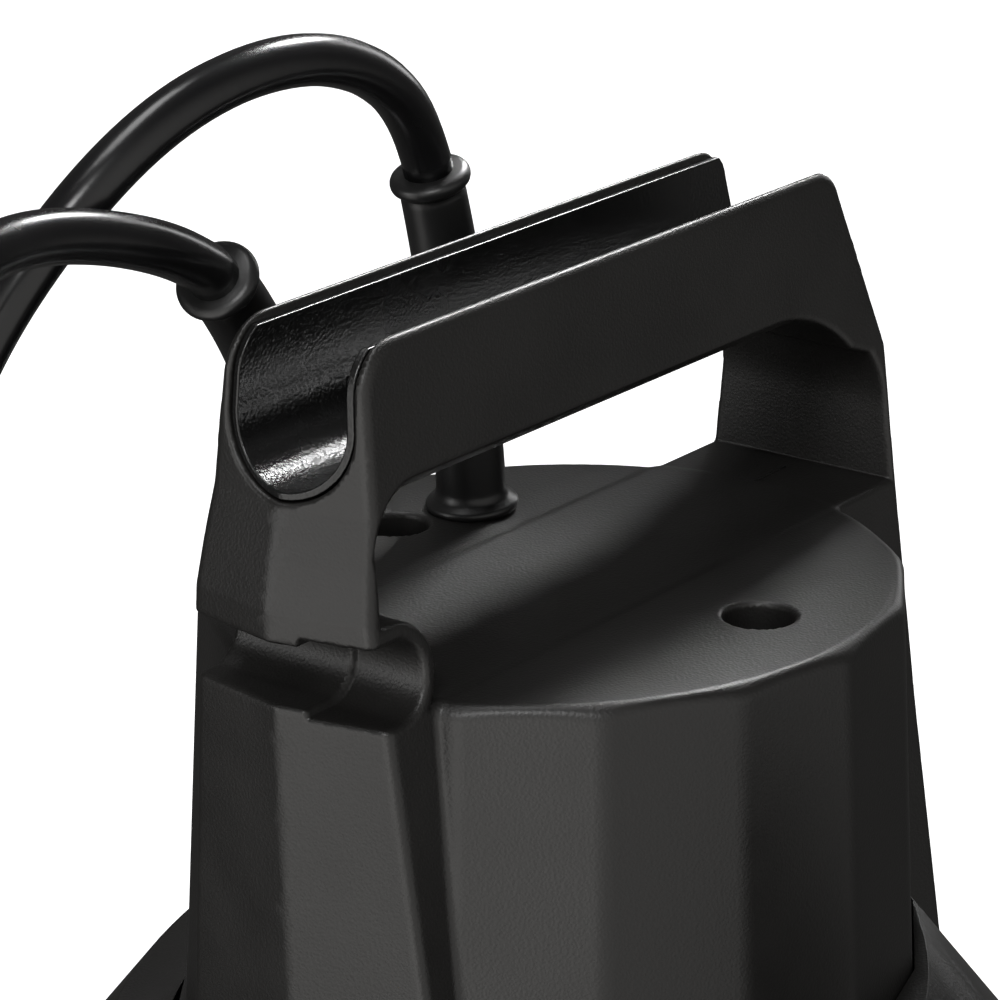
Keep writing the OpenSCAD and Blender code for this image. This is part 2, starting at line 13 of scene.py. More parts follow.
import bmesh
import bpy
import numpy as np
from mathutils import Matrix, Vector

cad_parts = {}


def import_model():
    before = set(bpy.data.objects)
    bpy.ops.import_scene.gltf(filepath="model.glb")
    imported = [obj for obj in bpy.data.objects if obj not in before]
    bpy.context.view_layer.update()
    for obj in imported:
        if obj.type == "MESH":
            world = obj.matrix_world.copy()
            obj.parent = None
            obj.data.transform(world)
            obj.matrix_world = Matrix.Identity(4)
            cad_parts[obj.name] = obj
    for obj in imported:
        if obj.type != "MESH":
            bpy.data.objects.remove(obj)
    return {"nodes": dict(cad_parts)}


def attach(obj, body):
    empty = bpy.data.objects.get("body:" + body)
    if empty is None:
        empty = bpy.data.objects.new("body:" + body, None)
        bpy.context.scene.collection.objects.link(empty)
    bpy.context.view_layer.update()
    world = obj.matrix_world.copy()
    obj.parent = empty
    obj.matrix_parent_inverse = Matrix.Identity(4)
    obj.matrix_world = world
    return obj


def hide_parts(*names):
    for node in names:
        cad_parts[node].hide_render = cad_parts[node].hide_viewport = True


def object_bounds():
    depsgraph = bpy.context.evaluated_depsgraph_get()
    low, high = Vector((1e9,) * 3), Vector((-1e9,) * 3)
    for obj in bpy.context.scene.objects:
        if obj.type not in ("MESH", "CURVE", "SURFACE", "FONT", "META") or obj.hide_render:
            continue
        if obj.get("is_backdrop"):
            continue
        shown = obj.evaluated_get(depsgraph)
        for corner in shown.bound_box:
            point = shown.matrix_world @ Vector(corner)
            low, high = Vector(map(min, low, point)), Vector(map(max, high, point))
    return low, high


Array = np.ndarray
MM = 0.001
LOG = logging.getLogger("pump")


# ---------------------------------------------------------------- small geometry helpers


def unit(vectors: Array) -> Array:
    """Scales every row to length one.

    Args:
        vectors: rows of vectors.

    Returns:
        The rows, each divided by its length.
    """
    return vectors / np.maximum(np.linalg.norm(vectors, axis=-1, keepdims=True), 1e-12)


def smooth_max(a: Array, b: Array, blend: float) -> Array:
    """The larger of two distances, with a round fillet where they are nearly equal.

    Formula: max(a, b) plus a quarter of blend times the square of the closeness, which is one where a
    equals b and zero where they differ by blend or more.

    Args:
        a: first distances.
        b: second distances.
        blend: size of the fillet.

    Returns:
        The blended maximum.
    """
    near = np.maximum(blend - np.abs(a - b), 0.0) / blend
    return np.maximum(a, b) + near * near * (blend * 0.25)


def smooth_min(a: Array, b: Array, blend: float) -> Array:
    """The smaller of two distances with a round fillet: the negative of smooth_max of the negatives."""
    return -smooth_max(-a, -b, blend)


def carve(body: Array, tool: Array, blend: float) -> Array:
    """Body with the tool cut out of it and the cut's edge rounded by blend."""
    return smooth_max(body, -tool, blend)


def arc_points(centre: tuple[float, float], radius: float, start: float, end: float) -> Array:
    """Twelve points on an arc: centre plus radius times cosine and sine of even angles, in degrees."""
    angle = np.radians(np.linspace(start, end, 12))
    return np.stack([centre[0] + radius * np.cos(angle), centre[1] + radius * np.sin(angle)], axis=1)


def polygon_distance(outline: Array, x: Array, y: Array) -> Array:
    """Signed distance to a closed outline, negative inside.

    Formula: the least distance to any edge, and the sign from the even-odd count of edges that a ray to
    the right of the point crosses.

    Args:
        outline: corner points, one row each.
        x: first coordinates.
        y: second coordinates, of the same shape.

    Returns:
        Distances, of the shape of x.
    """
    start = outline[:, None]
    edge = (np.roll(outline, -1, axis=0) - outline)[:, None]
    point = np.stack([x.ravel(), y.ravel()], axis=1)[None]
    offset = point - start
    along = np.clip((offset * edge).sum(-1) / (edge * edge).sum(-1), 0.0, 1.0)
    distance = np.linalg.norm(offset - along[..., None] * edge, axis=-1).min(0)
    low = start[..., 1] <= point[..., 1]
    high = (start + edge)[..., 1] <= point[..., 1]
    side = edge[..., 0] * offset[..., 1] - edge[..., 1] * offset[..., 0]
    crossings = ((low & ~high & (side > 0)) | (~low & high & (side < 0))).sum(0)
    return np.where(crossings % 2 == 1, -distance, distance).reshape(x.shape)


class Lookup:
    """A plane distance field sampled once on a fine grid and read back by bilinear interpolation."""

    def __init__(self, outline: Array, margin: float = 60.0, step: float = 0.5) -> None:
        """Samples the outline's distance.

        Args:
            outline: the closed outline.
            margin: how far the grid reaches past the outline.
            step: grid spacing.
        """
        self.low = outline.min(0) - margin
        self.step = step
        size = np.ceil((outline.max(0) + margin - self.low) / step).astype(int) + 1
        x, y = np.meshgrid(*(self.low[k] + step * np.arange(size[k]) for k in (0, 1)), indexing="ij")
        self.values = polygon_distance(outline, x, y)

    def __call__(self, x: Array, y: Array) -> Array:
        """Distance at the points, blended from the four grid values around each."""
        u = np.clip((x - self.low[0]) / self.step, 0, self.values.shape[0] - 1.001)
        v = np.clip((y - self.low[1]) / self.step, 0, self.values.shape[1] - 1.001)
        i = u.astype(np.int32)
        j = v.astype(np.int32)
        u = u - i
        v = v - j
        grid = self.values
        near = grid[i, j] * (1 - u) + grid[i + 1, j] * u
        far = grid[i, j + 1] * (1 - u) + grid[i + 1, j + 1] * u
        return near * (1 - v) + far * v


# The eight corners of a cell and its twelve edges, as pairs of corners that differ along one axis
CORNERS = np.array([[i, j, k] for i in (0, 1) for j in (0, 1) for k in (0, 1)])
EDGES = [(a, b) for a in range(8) for b in range(a + 1, 8) if np.abs(CORNERS[a] - CORNERS[b]).sum() == 1]


def surface_net(values: Array, low: Array, step: float) -> tuple[Array, Array]:
    """Meshes the zero level of a distance grid.

    Formula: every cell whose corners have both signs gets one point, the mean of the places where the
    field crosses zero along its edges, and every grid edge with a change of sign gets one four-sided
    face through the four cells around it.

    Args:
        values: distances on a grid, negative inside.
        low: the grid's lowest corner.
        step: grid spacing.

    Returns:
        Points and four-sided faces.
    """
    shape = np.array(values.shape) - 1
    inside = values < 0
    count = np.zeros(shape, np.int8)
    for i, j, k in CORNERS:
        count += inside[i : i + shape[0], j : j + shape[1], k : k + shape[2]]
    cells = np.argwhere((count > 0) & (count < 8))
    corner = np.stack([values[tuple((cells + c).T)] for c in CORNERS], axis=1)
    total = np.zeros((len(cells), 3))
    found = np.zeros((len(cells), 1))
    for a, b in EDGES:
        crosses = ((corner[:, a] < 0) != (corner[:, b] < 0))[:, None]
        share = (corner[:, a] / (corner[:, a] - corner[:, b] + 1e-12))[:, None]
        total += np.where(crosses, CORNERS[a] + share * (CORNERS[b] - CORNERS[a]), 0.0)
        found += crosses
    points = low + step * (cells + total / found)
    number = np.full(shape, -1, np.int64)
    number[tuple(cells.T)] = np.arange(len(cells))
    faces = []
    for axis in range(3):
        one, two = (axis + 1) % 3, (axis + 2) % 3
        ahead = np.take(inside, np.arange(1, values.shape[axis]), axis)
        behind = np.take(inside, np.arange(values.shape[axis] - 1), axis)
        edge = np.argwhere(ahead != behind)
        edge = edge[(edge[:, one] > 0) & (edge[:, two] > 0)]
        edge = edge[(edge[:, one] < shape[one]) & (edge[:, two] < shape[two])]
        ring = []
        for da, db in ((0, 0), (1, 0), (1, 1), (0, 1)):
            cell = edge.copy()
            cell[:, one] -= da
            cell[:, two] -= db
            ring.append(number[tuple(cell.T)])
        face = np.stack(ring, axis=1)
        leaves = behind[tuple(edge.T)]
        faces.append(np.where(leaves[:, None], face, face[:, ::-1]))
    return points, np.concatenate(faces)


def gradient(distance: Callable[[Array], Array], points: Array, reach: float) -> Array:
    """Slope of a distance field: the central difference over twice the reach along each axis.

    Args:
        distance: the field.
        points: rows of points.
        reach: half the distance between the two samples.

    Returns:
        One slope vector for each point.
    """
    columns = []
    for axis in np.eye(3):
        columns.append(distance(points + reach * axis) - distance(points - reach * axis))
    return np.stack(columns, axis=1) / (2 * reach)


# ---------------------------------------------------------------- meshes and pieces


def mesh_piece(name: str, points: Array, faces: Sequence, smooth: bool = True) -> bpy.types.Object:
    """Makes a mesh object at the origin.

    Args:
        name: the piece's name.
        points: rows of points in millimetres.
        faces: rows of point numbers, or a list of polygons.
        smooth: whether its faces are shaded smooth.

    Returns:
        The new object.
    """
    mesh = bpy.data.meshes.new(name)
    listed = faces.tolist() if isinstance(faces, np.ndarray) else faces
    mesh.from_pydata((np.asarray(points) * MM).tolist(), [], listed)
    mesh.polygons.foreach_set("use_smooth", np.full(len(mesh.polygons), smooth))
    mesh.update()
    piece = bpy.data.objects.new(name, mesh)
    bpy.context.scene.collection.objects.link(piece)
    return piece


def grid_faces(rows: int, columns: int, closed_rows: bool = False) -> list[list[int]]:
    """Four-sided faces of a grid of points whose columns close into rings.

    Args:
        rows: number of rings.
        columns: points in a ring.
        closed_rows: whether the last ring joins the first.

    Returns:
        The faces.
    """
    last = rows if closed_rows else rows - 1
    i, j = np.meshgrid(np.arange(last), np.arange(columns), indexing="ij")
    after = (i + 1) % rows
    beside = (j + 1) % columns
    corners = [i * columns + j, i * columns + beside, after * columns + beside, after * columns + j]
    return np.stack([c.ravel() for c in corners], axis=1).tolist()


def refine(route: Sequence[Sequence[float]], step: float) -> Array:
    """A smooth line through a route's points.

    Formula: a cubic between each two points with the slopes of its neighbours, then evenly spaced points
    along it, then a few rounds of each point moving to the mean of itself and its neighbours.

    Args:
        route: the points, in millimetres.
        step: spacing of the new points.

    Returns:
        Points along the line.
    """
    p = np.asarray(route, float)
    gap = np.linalg.norm(np.diff(p, axis=0), axis=1)
    at = np.concatenate([[0.0], np.cumsum(gap)])
    slope = np.gradient(p, at, axis=0)
    fine = np.linspace(0, at[-1], int(at[-1]) + 2)
    part = np.clip(np.searchsorted(at, fine, side="right") - 1, 0, len(gap) - 1)
    width = gap[part][:, None]
    t = ((fine - at[part]) / gap[part])[:, None]
    line = (
        (2 * t**3 - 3 * t**2 + 1) * p[part]
        + (t**3 - 2 * t**2 + t) * width * slope[part]
        + (3 * t**2 - 2 * t**3) * p[part + 1]
        + (t**3 - t**2) * width * slope[part + 1]
    )
    line = evenly(line, step)
    for _ in range(12):
        line[2:-2] = 0.25 * line[1:-3] + 0.5 * line[2:-2] + 0.25 * line[3:-1]
    return line


def evenly(line: Array, step: float) -> Array:
    """Spaces a line's points evenly, by reading each coordinate against the length so far.

    Args:
        line: points along the line.
        step: spacing of the new points.

    Returns:
        The new points.
    """
    at = np.concatenate([[0.0], np.cumsum(np.linalg.norm(np.diff(line, axis=0), axis=1))])
    want = np.linspace(0, at[-1], max(int(round(at[-1] / step)), 2) + 1)
    return np.stack([np.interp(want, at, line[:, k]) for k in range(3)], axis=1)


def tube(name: str, line: Array, radii: Array | float, sides: int = 24) -> bpy.types.Object:
    """A round tube along a line, closed by its first and last ring.

    Formula: at each point two directions square to the line are carried from ring to ring, and a ring is
    the point plus the radius times the cosine and sine of evenly spaced angles along them.

    Args:
        name: the piece's name.
        line: centre points in millimetres.
        radii: the radius, or one for each point.
        sides: points in a ring.

    Returns:
        The new object.
    """
    tangent = unit(np.gradient(line, axis=0))
    tangent[0] = unit(line[1:2] - line[0:1])[0] if np.linalg.norm(line[1] - line[0]) > 1e-6 else tangent[0]
    across = np.zeros_like(line)
    start = np.cross(tangent[0], [0.3, 0.2, 0.9])
    across[0] = start / np.linalg.norm(start)
    for i in range(1, len(line)):
        turned = across[i - 1] - (across[i - 1] @ tangent[i]) * tangent[i]
        across[i] = turned / np.linalg.norm(turned)
    other = np.cross(tangent, across)
    angle = np.linspace(0, 2 * math.pi, sides, endpoint=False)
    reach = np.broadcast_to(np.asarray(radii, float), (len(line),))[:, None, None]
    spokes = across[:, None] * np.cos(angle)[None, :, None] + other[:, None] * np.sin(angle)[None, :, None]
    points = (line[:, None] + reach * spokes).reshape(-1, 3)
    faces = grid_faces(len(line), sides)
    faces.append(list(range(sides))[::-1])
    faces.append([(len(line) - 1) * sides + k for k in range(sides)])
    return mesh_piece(name, points, faces)


def recalculate(piece: bpy.types.Object) -> None:
    """Turns all faces of a closed mesh outwards, after its doubles are merged.

    Args:
        piece: the piece.
    """
    work = bmesh.new()
    work.from_mesh(piece.data)
    bmesh.ops.remove_doubles(work, verts=work.verts, dist=1e-6)
    bmesh.ops.recalc_face_normals(work, faces=work.faces)
    work.to_mesh(piece.data)
    work.free()


def bevel(piece: bpy.types.Object, width: float, angle: float = 35.0, segments: int = 2) -> None:
    """Rounds the sharp edges of a piece.

    Args:
        piece: the piece.
        width: width of the bevel in millimetres.
        angle: least angle of a rounded edge, in degrees.
        segments: steps across the bevel.
    """
    tool = piece.modifiers.new("edges", "BEVEL")
    tool.width = width * MM
    tool.segments = segments
    tool.limit_method = "ANGLE"
    tool.angle_limit = math.radians(angle)
    tool.harden_normals = True
    tool.use_clamp_overlap = True


def copy_of(node: str, name: str) -> bpy.types.Object:
    """Takes a merged copy of a CAD node's mesh as a piece of its own and hides the node.

    Args:
        node: the CAD node.
        name: the piece's name.

    Returns:
        The new object.
    """
    source = FRAME.nodes[node]
    mesh = source.data.copy()
    mesh.materials.clear()
    work = bmesh.new()
    work.from_mesh(mesh)
    bmesh.ops.remove_doubles(work, verts=work.verts, dist=2e-6)
    bmesh.ops.dissolve_limit(
        work,
        angle_limit=math.radians(0.8),
        verts=work.verts,
        edges=work.edges,
        use_dissolve_boundaries=False,
    )
    work.to_mesh(mesh)
    work.free()
    mesh.polygons.foreach_set("use_smooth", np.ones(len(mesh.polygons), bool))
    piece = bpy.data.objects.new(name, mesh)
    bpy.context.scene.collection.objects.link(piece)
    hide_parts(node)
    return piece


# ---------------------------------------------------------------- the CAD frame


@dataclass
class Frame:
    """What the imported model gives: its nodes and its box before anything is dressed."""

    nodes: dict[str, bpy.types.Object] = field(default_factory=dict)
    cad_box: list = field(default_factory=list)

    def load(self) -> None:
        """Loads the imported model."""
        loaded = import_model()
        self.nodes = loaded["nodes"]
        self.cad_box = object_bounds()


FRAME = Frame()


# ---------------------------------------------------------------- finishes


class Pattern(Enum):
    """The fine relief of a surface."""

    LEATHER = "leather grain of a spark-eroded mould"
    SATIN = "faint unevenness of a smooth moulding"
    SPECKED = "fine sparkling specks on a satin top"
    RUBBER = "soft matte rubber"
    CAST = "sand-cast metal"
    BRUSHED = "turned or drawn metal"


@dataclass(frozen=True)
class Finish:
    """One surface finish, made into a procedural material.

    Attributes:
        name: the material's name.
        slot: the record's material slot it stands for; not used.
        colour: base colour, linear.
        rough: middle roughness.
        pattern: its relief.
        metal: how metallic it is, zero or one.
        relief: height of the relief in millimetres.
        grain: size of the relief in millimetres.
        ior: index of refraction.
    """

    name: str
    slot: str
    colour: tuple[float, float, float]
    rough: float
    pattern: Pattern
    metal: float = 0.0
    relief: float = 0.05
    grain: float = 0.7
    ior: float = 1.5

    def material(self) -> bpy.types.Material:
        """Makes the material once and gives it back after that.

        Formula: a cell pattern or noise in Object coordinates drives the bump, and a broad noise shifts the
        roughness and the colour a little.

        Returns:
            The material.
        """
        known = bpy.data.materials.get(self.name)
        if known:
            return known
        made = bpy.data.materials.new(self.name)
        made.use_nodes = True
        tree = made.node_tree
        shader = tree.nodes["Principled BSDF"]
        shader.inputs["Metallic"].default_value = self.metal
        shader.inputs["IOR"].default_value = self.ior
        place = tree.nodes.new("ShaderNodeTexCoord")
        fine = self.relief_height(tree, place)
        broad = self.noise(tree, place, 1.0 / (22.0 * MM), 3.0)
        self.mix_colour(tree, broad, shader)
        spread = tree.nodes.new("ShaderNodeMapRange")
        spread.inputs["From Min"].default_value = 0.3
        spread.inputs["From Max"].default_value = 0.7
        spread.inputs["To Min"].default_value = self.rough - 0.045
        spread.inputs["To Max"].default_value = self.rough + 0.045
        tree.links.new(broad.outputs["Fac"], spread.inputs["Value"])
        tree.links.new(spread.outputs["Result"], shader.inputs["Roughness"])
        bump = tree.nodes.new("ShaderNodeBump")
        bump.inputs["Strength"].default_value = 1.0
        bump.inputs["Distance"].default_value = self.relief * MM
        tree.links.new(fine, bump.inputs["Height"])
        tree.links.new(bump.outputs["Normal"], shader.inputs["Normal"])
        return made

    def noise(
        self, tree: bpy.types.NodeTree, place: bpy.types.Node, scale: float, detail: float
    ) -> bpy.types.Node:
        """Adds a noise pattern.

        Args:
            tree: the material's nodes.
            place: the coordinate node.
            scale: repeats per metre.
            detail: octaves.

        Returns:
            The noise node.
        """
        node = tree.nodes.new("ShaderNodeTexNoise")
        node.inputs["Scale"].default_value = scale
        node.inputs["Detail"].default_value = detail
        tree.links.new(place.outputs["Object"], node.inputs["Vector"])
        return node

    def mix_colour(self, tree: bpy.types.NodeTree, broad: bpy.types.Node, shader: bpy.types.Node) -> None:
        """Lets the colour drift by twelve hundredths of itself to both sides along the broad noise.

        Args:
            tree: the material's nodes.
            broad: the noise.
            shader: the shader that takes the colour.
        """
        ramp = tree.nodes.new("ShaderNodeValToRGB")
        ramp.color_ramp.elements[0].position = 0.3
        ramp.color_ramp.elements[1].position = 0.7
        ramp.color_ramp.elements[0].color = (*(0.88 * c for c in self.colour), 1.0)
        ramp.color_ramp.elements[1].color = (*(1.12 * c for c in self.colour), 1.0)
        tree.links.new(broad.outputs["Fac"], ramp.inputs["Fac"])
        tree.links.new(ramp.outputs["Color"], shader.inputs["Base Color"])

    def relief_height(self, tree: bpy.types.NodeTree, place: bpy.types.Node) -> bpy.types.NodeSocket:
        """The relief's height socket, by pattern.

        Args:
            tree: the material's nodes.
            place: the coordinate node.

        Returns:
            The output that drives the bump.
        """
        if self.pattern is Pattern.LEATHER:
            cells = tree.nodes.new("ShaderNodeTexVoronoi")
            cells.feature = "SMOOTH_F1"
            cells.inputs["Scale"].default_value = 1.0 / (self.grain * MM)
            cells.inputs["Smoothness"].default_value = 0.6
            cells.inputs["Randomness"].default_value = 1.0
            warp = self.noise(tree, place, 0.7 / (self.grain * MM), 2.0)
            add = tree.nodes.new("ShaderNodeVectorMath")
            add.operation = "MULTIPLY_ADD"
            add.inputs[1].default_value = (0.8 * self.grain * MM,) * 3
            tree.links.new(warp.outputs["Color"], add.inputs[0])
            tree.links.new(place.outputs["Object"], add.inputs[2])
            tree.links.new(add.outputs["Vector"], cells.inputs["Vector"])
            return cells.outputs["Distance"]
        if self.pattern is Pattern.BRUSHED:
            stretch = tree.nodes.new("ShaderNodeMapping")
            stretch.inputs["Scale"].default_value = (1.0, 1.0, 0.08)
            tree.links.new(place.outputs["Object"], stretch.inputs["Vector"])
            lines = tree.nodes.new("ShaderNodeTexNoise")
            lines.inputs["Scale"].default_value = 1.0 / (self.grain * MM)
            lines.inputs["Detail"].default_value = 3.0
            tree.links.new(stretch.outputs["Vector"], lines.inputs["Vector"])
            return lines.outputs["Fac"]
        detail = {Pattern.SATIN: 2.0, Pattern.SPECKED: 5.0, Pattern.RUBBER: 4.0, Pattern.CAST: 6.0}
        return self.noise(tree, place, 1.0 / (self.grain * MM), detail[self.pattern]).outputs["Fac"]

    def dress(self, *pieces: bpy.types.Object) -> None:
        """Puts the finish on new pieces.

        Args:
            pieces: the pieces.
        """
        for piece in pieces:
            piece.data.materials.clear()
            piece.data.materials.append(self.material())

    def dress_node(self, *names: str) -> None:
        """Puts the finish on CAD nodes, whose meshes stay as they are.

        Args:
            names: the nodes.
        """
        for name in names:
            for holder in FRAME.nodes[name].material_slots:
                holder.material = self.material()


HOUSING = Finish(
    "housing black, leather grain", "housing_plastic", (0.0095, 0.009, 0.0085),
    0.44, Pattern.LEATHER, relief=0.04, grain=0.5,
)
LINER = Finish(
    "liner black, fine grain", "liner_plastic", (0.006, 0.006, 0.006),
    0.25, Pattern.LEATHER, relief=0.05, grain=0.6,
)
INNER = Finish(
    "inner black plastic", "inner_plastic", (0.012, 0.012, 0.013),
    0.45, Pattern.SATIN, grain=1.6,
)
FLOAT = Finish(
    "float black plastic", "float_plastic", (0.011, 0.011, 0.012),
    0.38, Pattern.LEATHER, grain=0.8,
)
PALE = Finish("pale plastic", "pale_plastic", (0.6, 0.57, 0.48), 0.42, Pattern.SATIN, relief=0.03)
BOOT = Finish(
    "boot rubber", "boot_rubber", (0.009, 0.009, 0.0092),
    0.36, Pattern.RUBBER, relief=0.03, grain=0.9,
)
CABLE = Finish(
    "cable rubber", "cable_rubber", (0.007, 0.007, 0.0075),
    0.24, Pattern.SATIN, relief=0.03, grain=2.5,
)
PLUG = Finish("plug rubber", "plug_rubber", (0.010, 0.010, 0.011), 0.36, Pattern.RUBBER, relief=0.03)
SEAL = Finish("seal rubber", "seal_rubber", (0.011, 0.011, 0.011), 0.6, Pattern.RUBBER)
SCREW = Finish(
    "screw steel", "screw_steel", (0.5, 0.5, 0.51),
    0.3, Pattern.BRUSHED, metal=1.0, relief=0.02,
)
BEARING = Finish(
    "bearing steel", "bearing_steel", (0.62, 0.62, 0.63),
    0.18, Pattern.BRUSHED, metal=1.0, relief=0.01,
)
CORE = Finish(
    "stator steel", "core_steel", (0.22, 0.22, 0.23),
    0.42, Pattern.BRUSHED, metal=1.0, relief=0.04,
)
CAST = Finish(
    "cast aluminium", "cast_aluminium", (0.5, 0.5, 0.51),
    0.5, Pattern.CAST, metal=1.0, relief=0.08,
)
CAN = Finish(
    "capacitor can", "can_aluminium", (0.68, 0.68, 0.7),
    0.24, Pattern.BRUSHED, metal=1.0, relief=0.02,
)
COPPER = Finish(
    "winding copper", "winding_copper", (0.62, 0.26, 0.1),
    0.3, Pattern.BRUSHED, metal=1.0, relief=0.1,
)
BRASS = Finish(
    "nut brass", "nut_brass", (0.7, 0.52, 0.24),
    0.3, Pattern.BRUSHED, metal=1.0, relief=0.02,
)


# ---------------------------------------------------------------- the motor housing and its handle


@dataclass
class Housing:
    """The oval top of the motor housing in one moulding with the carrying handle.

    It is worked out as one distance field, so that every edge between its surfaces gets a true fillet.
    """

    crest_z: float = 205.0
    seat_z: float = 118.0
    handle_h: float = 58.2
    half_length: float = 61.9
    half_width: float = 57.6
    draft: float = math.tan(math.radians(2.9))
    wall: float = 3.4
    roof: float = 7.0
    facets: int = 16
    rim_start: float = 58.6
    rim_fall: float = 7.0
    slab_half: float = 19.0
    slab_draft: float = 0.1005
    end_slope: float = 0.2
    foot_depth: float = 97.0
    foot_inner: float = 68.0
    belly_r: float = 15.2
    belly_v: float = 44.2
    channel_r: float = 12.2
    channel_v: float = 44.7
    groove_x: float = -66.0
    groove_v: float = 5.6
    groove_r: float = 6.6
    groove_wall: float = 2.9
    groove_step: float = 1.3
    groove_step_y: float = -5.0
    post_place: tuple[float, float] = (55.0, 52.0)
    post_r: float = 5.5
    post_bore_r: float = 2.1
    screw_x: float = 4.4
    screw_y: float = 37.4
    screw_r: float = 2.8
    well_r: float = 6.0
    well_depth: float = 14.0
    boss_r: float = 8.0
    boss_depth: float = 21.7
    boot_hole_r: float = 6.6
    boot_y: float = 31.5
    boot_x: tuple[float, float] = (19.0, -26.0)
    step: float = 0.8

    def __post_init__(self) -> None:
        """Samples the outlines of the slab and of the hand hole."""
        self.slab = Lookup(self.slab_outline())
        self.hole = Lookup(self.hole_outline())

    def slab_outline(self) -> Array:
        """Outline of the handle and its spines, x against height above the flat top."""
        low = self.seat_z - self.crest_z
        left = [(-69.4, low), (-71.1, -50), (-73.4, 0.6), (-75.1, 11.5)]
        left = left + [(-75.2, 16), (-73.8, 24), (-71.9, 32)]
        crown = [arc_points((-61.9, 49.2), 9.0, 174, 90), arc_points((61.0, 51.7), 6.5, 90, 14)]
        right = [(79.6, 24.5), (81.1, 0), (84.4, -42), (90.2, -self.foot_depth)]
        foot = [(self.foot_inner, -self.foot_depth), (self.foot_inner, low)]
        return np.concatenate([left, *crown, right, foot])

    def hole_outline(self) -> Array:
        """Outline of the hand hole, x against height above the flat top."""
        start = [(-62, -6), (-62, 13), (-68.6, 15.5), (-68.4, 19.7)]
        left = arc_points((-57.4, 24.6), 11.0, 180, 90)
        right = [arc_points((42, 2.6), 33.0, 90, 45), arc_points((58, 13), 17.0, 40, 0)]
        return np.concatenate([start, left, *right, [(75.2, -6)]])

    def oval(self, x: Array, y: Array, v: Array, grow: float, blend: float) -> Array:
        """Distance to the drafted oval block.

        Formula: the smooth maximum over the facets of the distance to each facet's plane, which moves
        outwards by the draft with depth.

        Args:
            x: along the handle.
            y: across it.
            v: height above the flat top.
            grow: offset of the wall.
            blend: fillet between neighbouring facets.

        Returns:
            Distances.
        """
        turn = 2 * math.pi / self.facets
        out = grow - v * self.draft
        total = None
        for number in range(self.facets):
            ends = np.array([[math.cos(turn * k), math.sin(turn * k)] for k in (number, number + 1)])
            corner = ends * (self.half_length, self.half_width)
            edge = corner[1] - corner[0]
            normal = np.array([edge[1], -edge[0]]) / np.linalg.norm(edge)
            lean = float(ends.mean(0) @ normal)
            plane = normal[0] * x + normal[1] * y - float(corner[0] @ normal) - lean * out
            total = plane if total is None else smooth_max(total, plane, blend)
        return total

    def distance(self, points: Array) -> Array:
        """Distance to the moulding, negative inside the plastic.

        Formula: block under a rim that drops with the square of the distance past its start, joined to the
        slab and to the grip's round belly, less the hand hole, cable groove, channel, motor chamber, screw
        wells and cable holes.

        Args:
            points: rows of points in millimetres.

        Returns:
            Distances.
        """
        x, y = points[..., 0], points[..., 1]
        v = points[..., 2] - self.crest_z
        side = np.abs(y)
        ring = np.hypot(x, y * self.half_length / self.half_width)
        top = v + np.maximum(ring - self.rim_start, 0.0) ** 2 / self.rim_fall
        block = smooth_max(self.oval(x, y, v, 0.0, 0.7), top, 1.3)
        low = self.seat_z - self.crest_z - v
        block = np.maximum(block, low)
        slab = self.handle(x, y, v)
        body = smooth_min(block, slab, 1.0)
        chamber = np.maximum(self.oval(x, y, v, -self.wall, 1.0), v + self.roof)
        box = np.maximum(np.maximum(-64.8 - x, x + 39.8), np.maximum(side - 15.0, v + 10.0))
        chamber = np.maximum(np.minimum(chamber, box), low - 1.0)
        for angle in (45, 135, 225, 315):
            post_x = self.post_place[0] * math.cos(math.radians(angle))
            post_y = self.post_place[1] * math.sin(math.radians(angle))
            post = np.hypot(x - post_x, y - post_y) - self.post_r
            chamber = carve(chamber, np.maximum(post, v + 53.0), 0.6)
            body = carve(body, np.maximum(post + (self.post_r - self.post_bore_r), v + 59.0), 0.4)
        well = np.hypot(x - self.screw_x, side - self.screw_y)
        chamber = carve(chamber, np.maximum(well - self.boss_r, -self.boss_depth - v), 0.6)
        body = carve(body, chamber, 0.6)
        body = carve(body, np.maximum(well - self.well_r, -self.well_depth - v), 0.9)
        body = carve(body, well - self.screw_r, 0.4)
        for boot_x in self.boot_x:
            hole = np.hypot(x - boot_x, y - self.boot_y) - self.boot_hole_r
            body = carve(body, np.maximum(hole, np.abs(v + 5.0) - 10.0), 0.6)
        return body

    def handle(self, x: Array, across: Array, v: Array) -> Array:
        """Distance to the slab with its grip, hole, groove and channel.

        Args:
            x: along the handle.
            across: across it.
            v: height above the flat top.

        Returns:
            Distances.
        """
        side = np.abs(across)
        shear = np.where(x < 0, -self.end_slope, self.end_slope) * side
        faces = (side - self.slab_half + self.slab_draft * v) * 0.995
        slab = smooth_max(self.slab(x + shear, v), faces, 1.8)
        open_hole = self.hole(x, v)
        lip = np.hypot(x - self.groove_x, v - self.groove_v)
        open_hole = smooth_max(open_hole, self.groove_r + self.groove_wall - lip, 0.8)
        slab = carve(slab, np.maximum(open_hole, -0.02 - v), 1.3)
        belly = np.hypot(side, v - self.belly_v) - self.belly_r
        belly = np.maximum(np.maximum(belly, v - self.belly_v), faces + 0.8)
        belly = np.maximum(belly, self.slab(x + shear, v) + 0.8)
        slab = smooth_min(slab, belly, 0.8)
        shallow = 1.0 - np.clip(0.5 - (across - self.groove_step_y) / 0.5, 0.0, 1.0)
        slot = np.where(x < self.groove_x, np.abs(v - self.groove_v), lip)
        slot = slot - self.groove_r + self.groove_step * shallow
        slab = carve(slab, slot, 1.0)
        above = v - self.channel_v
        gutter = np.where(above > 0, side + above * 0.058, np.hypot(side, above))
        return carve(slab, gutter - self.channel_r, 0.9)

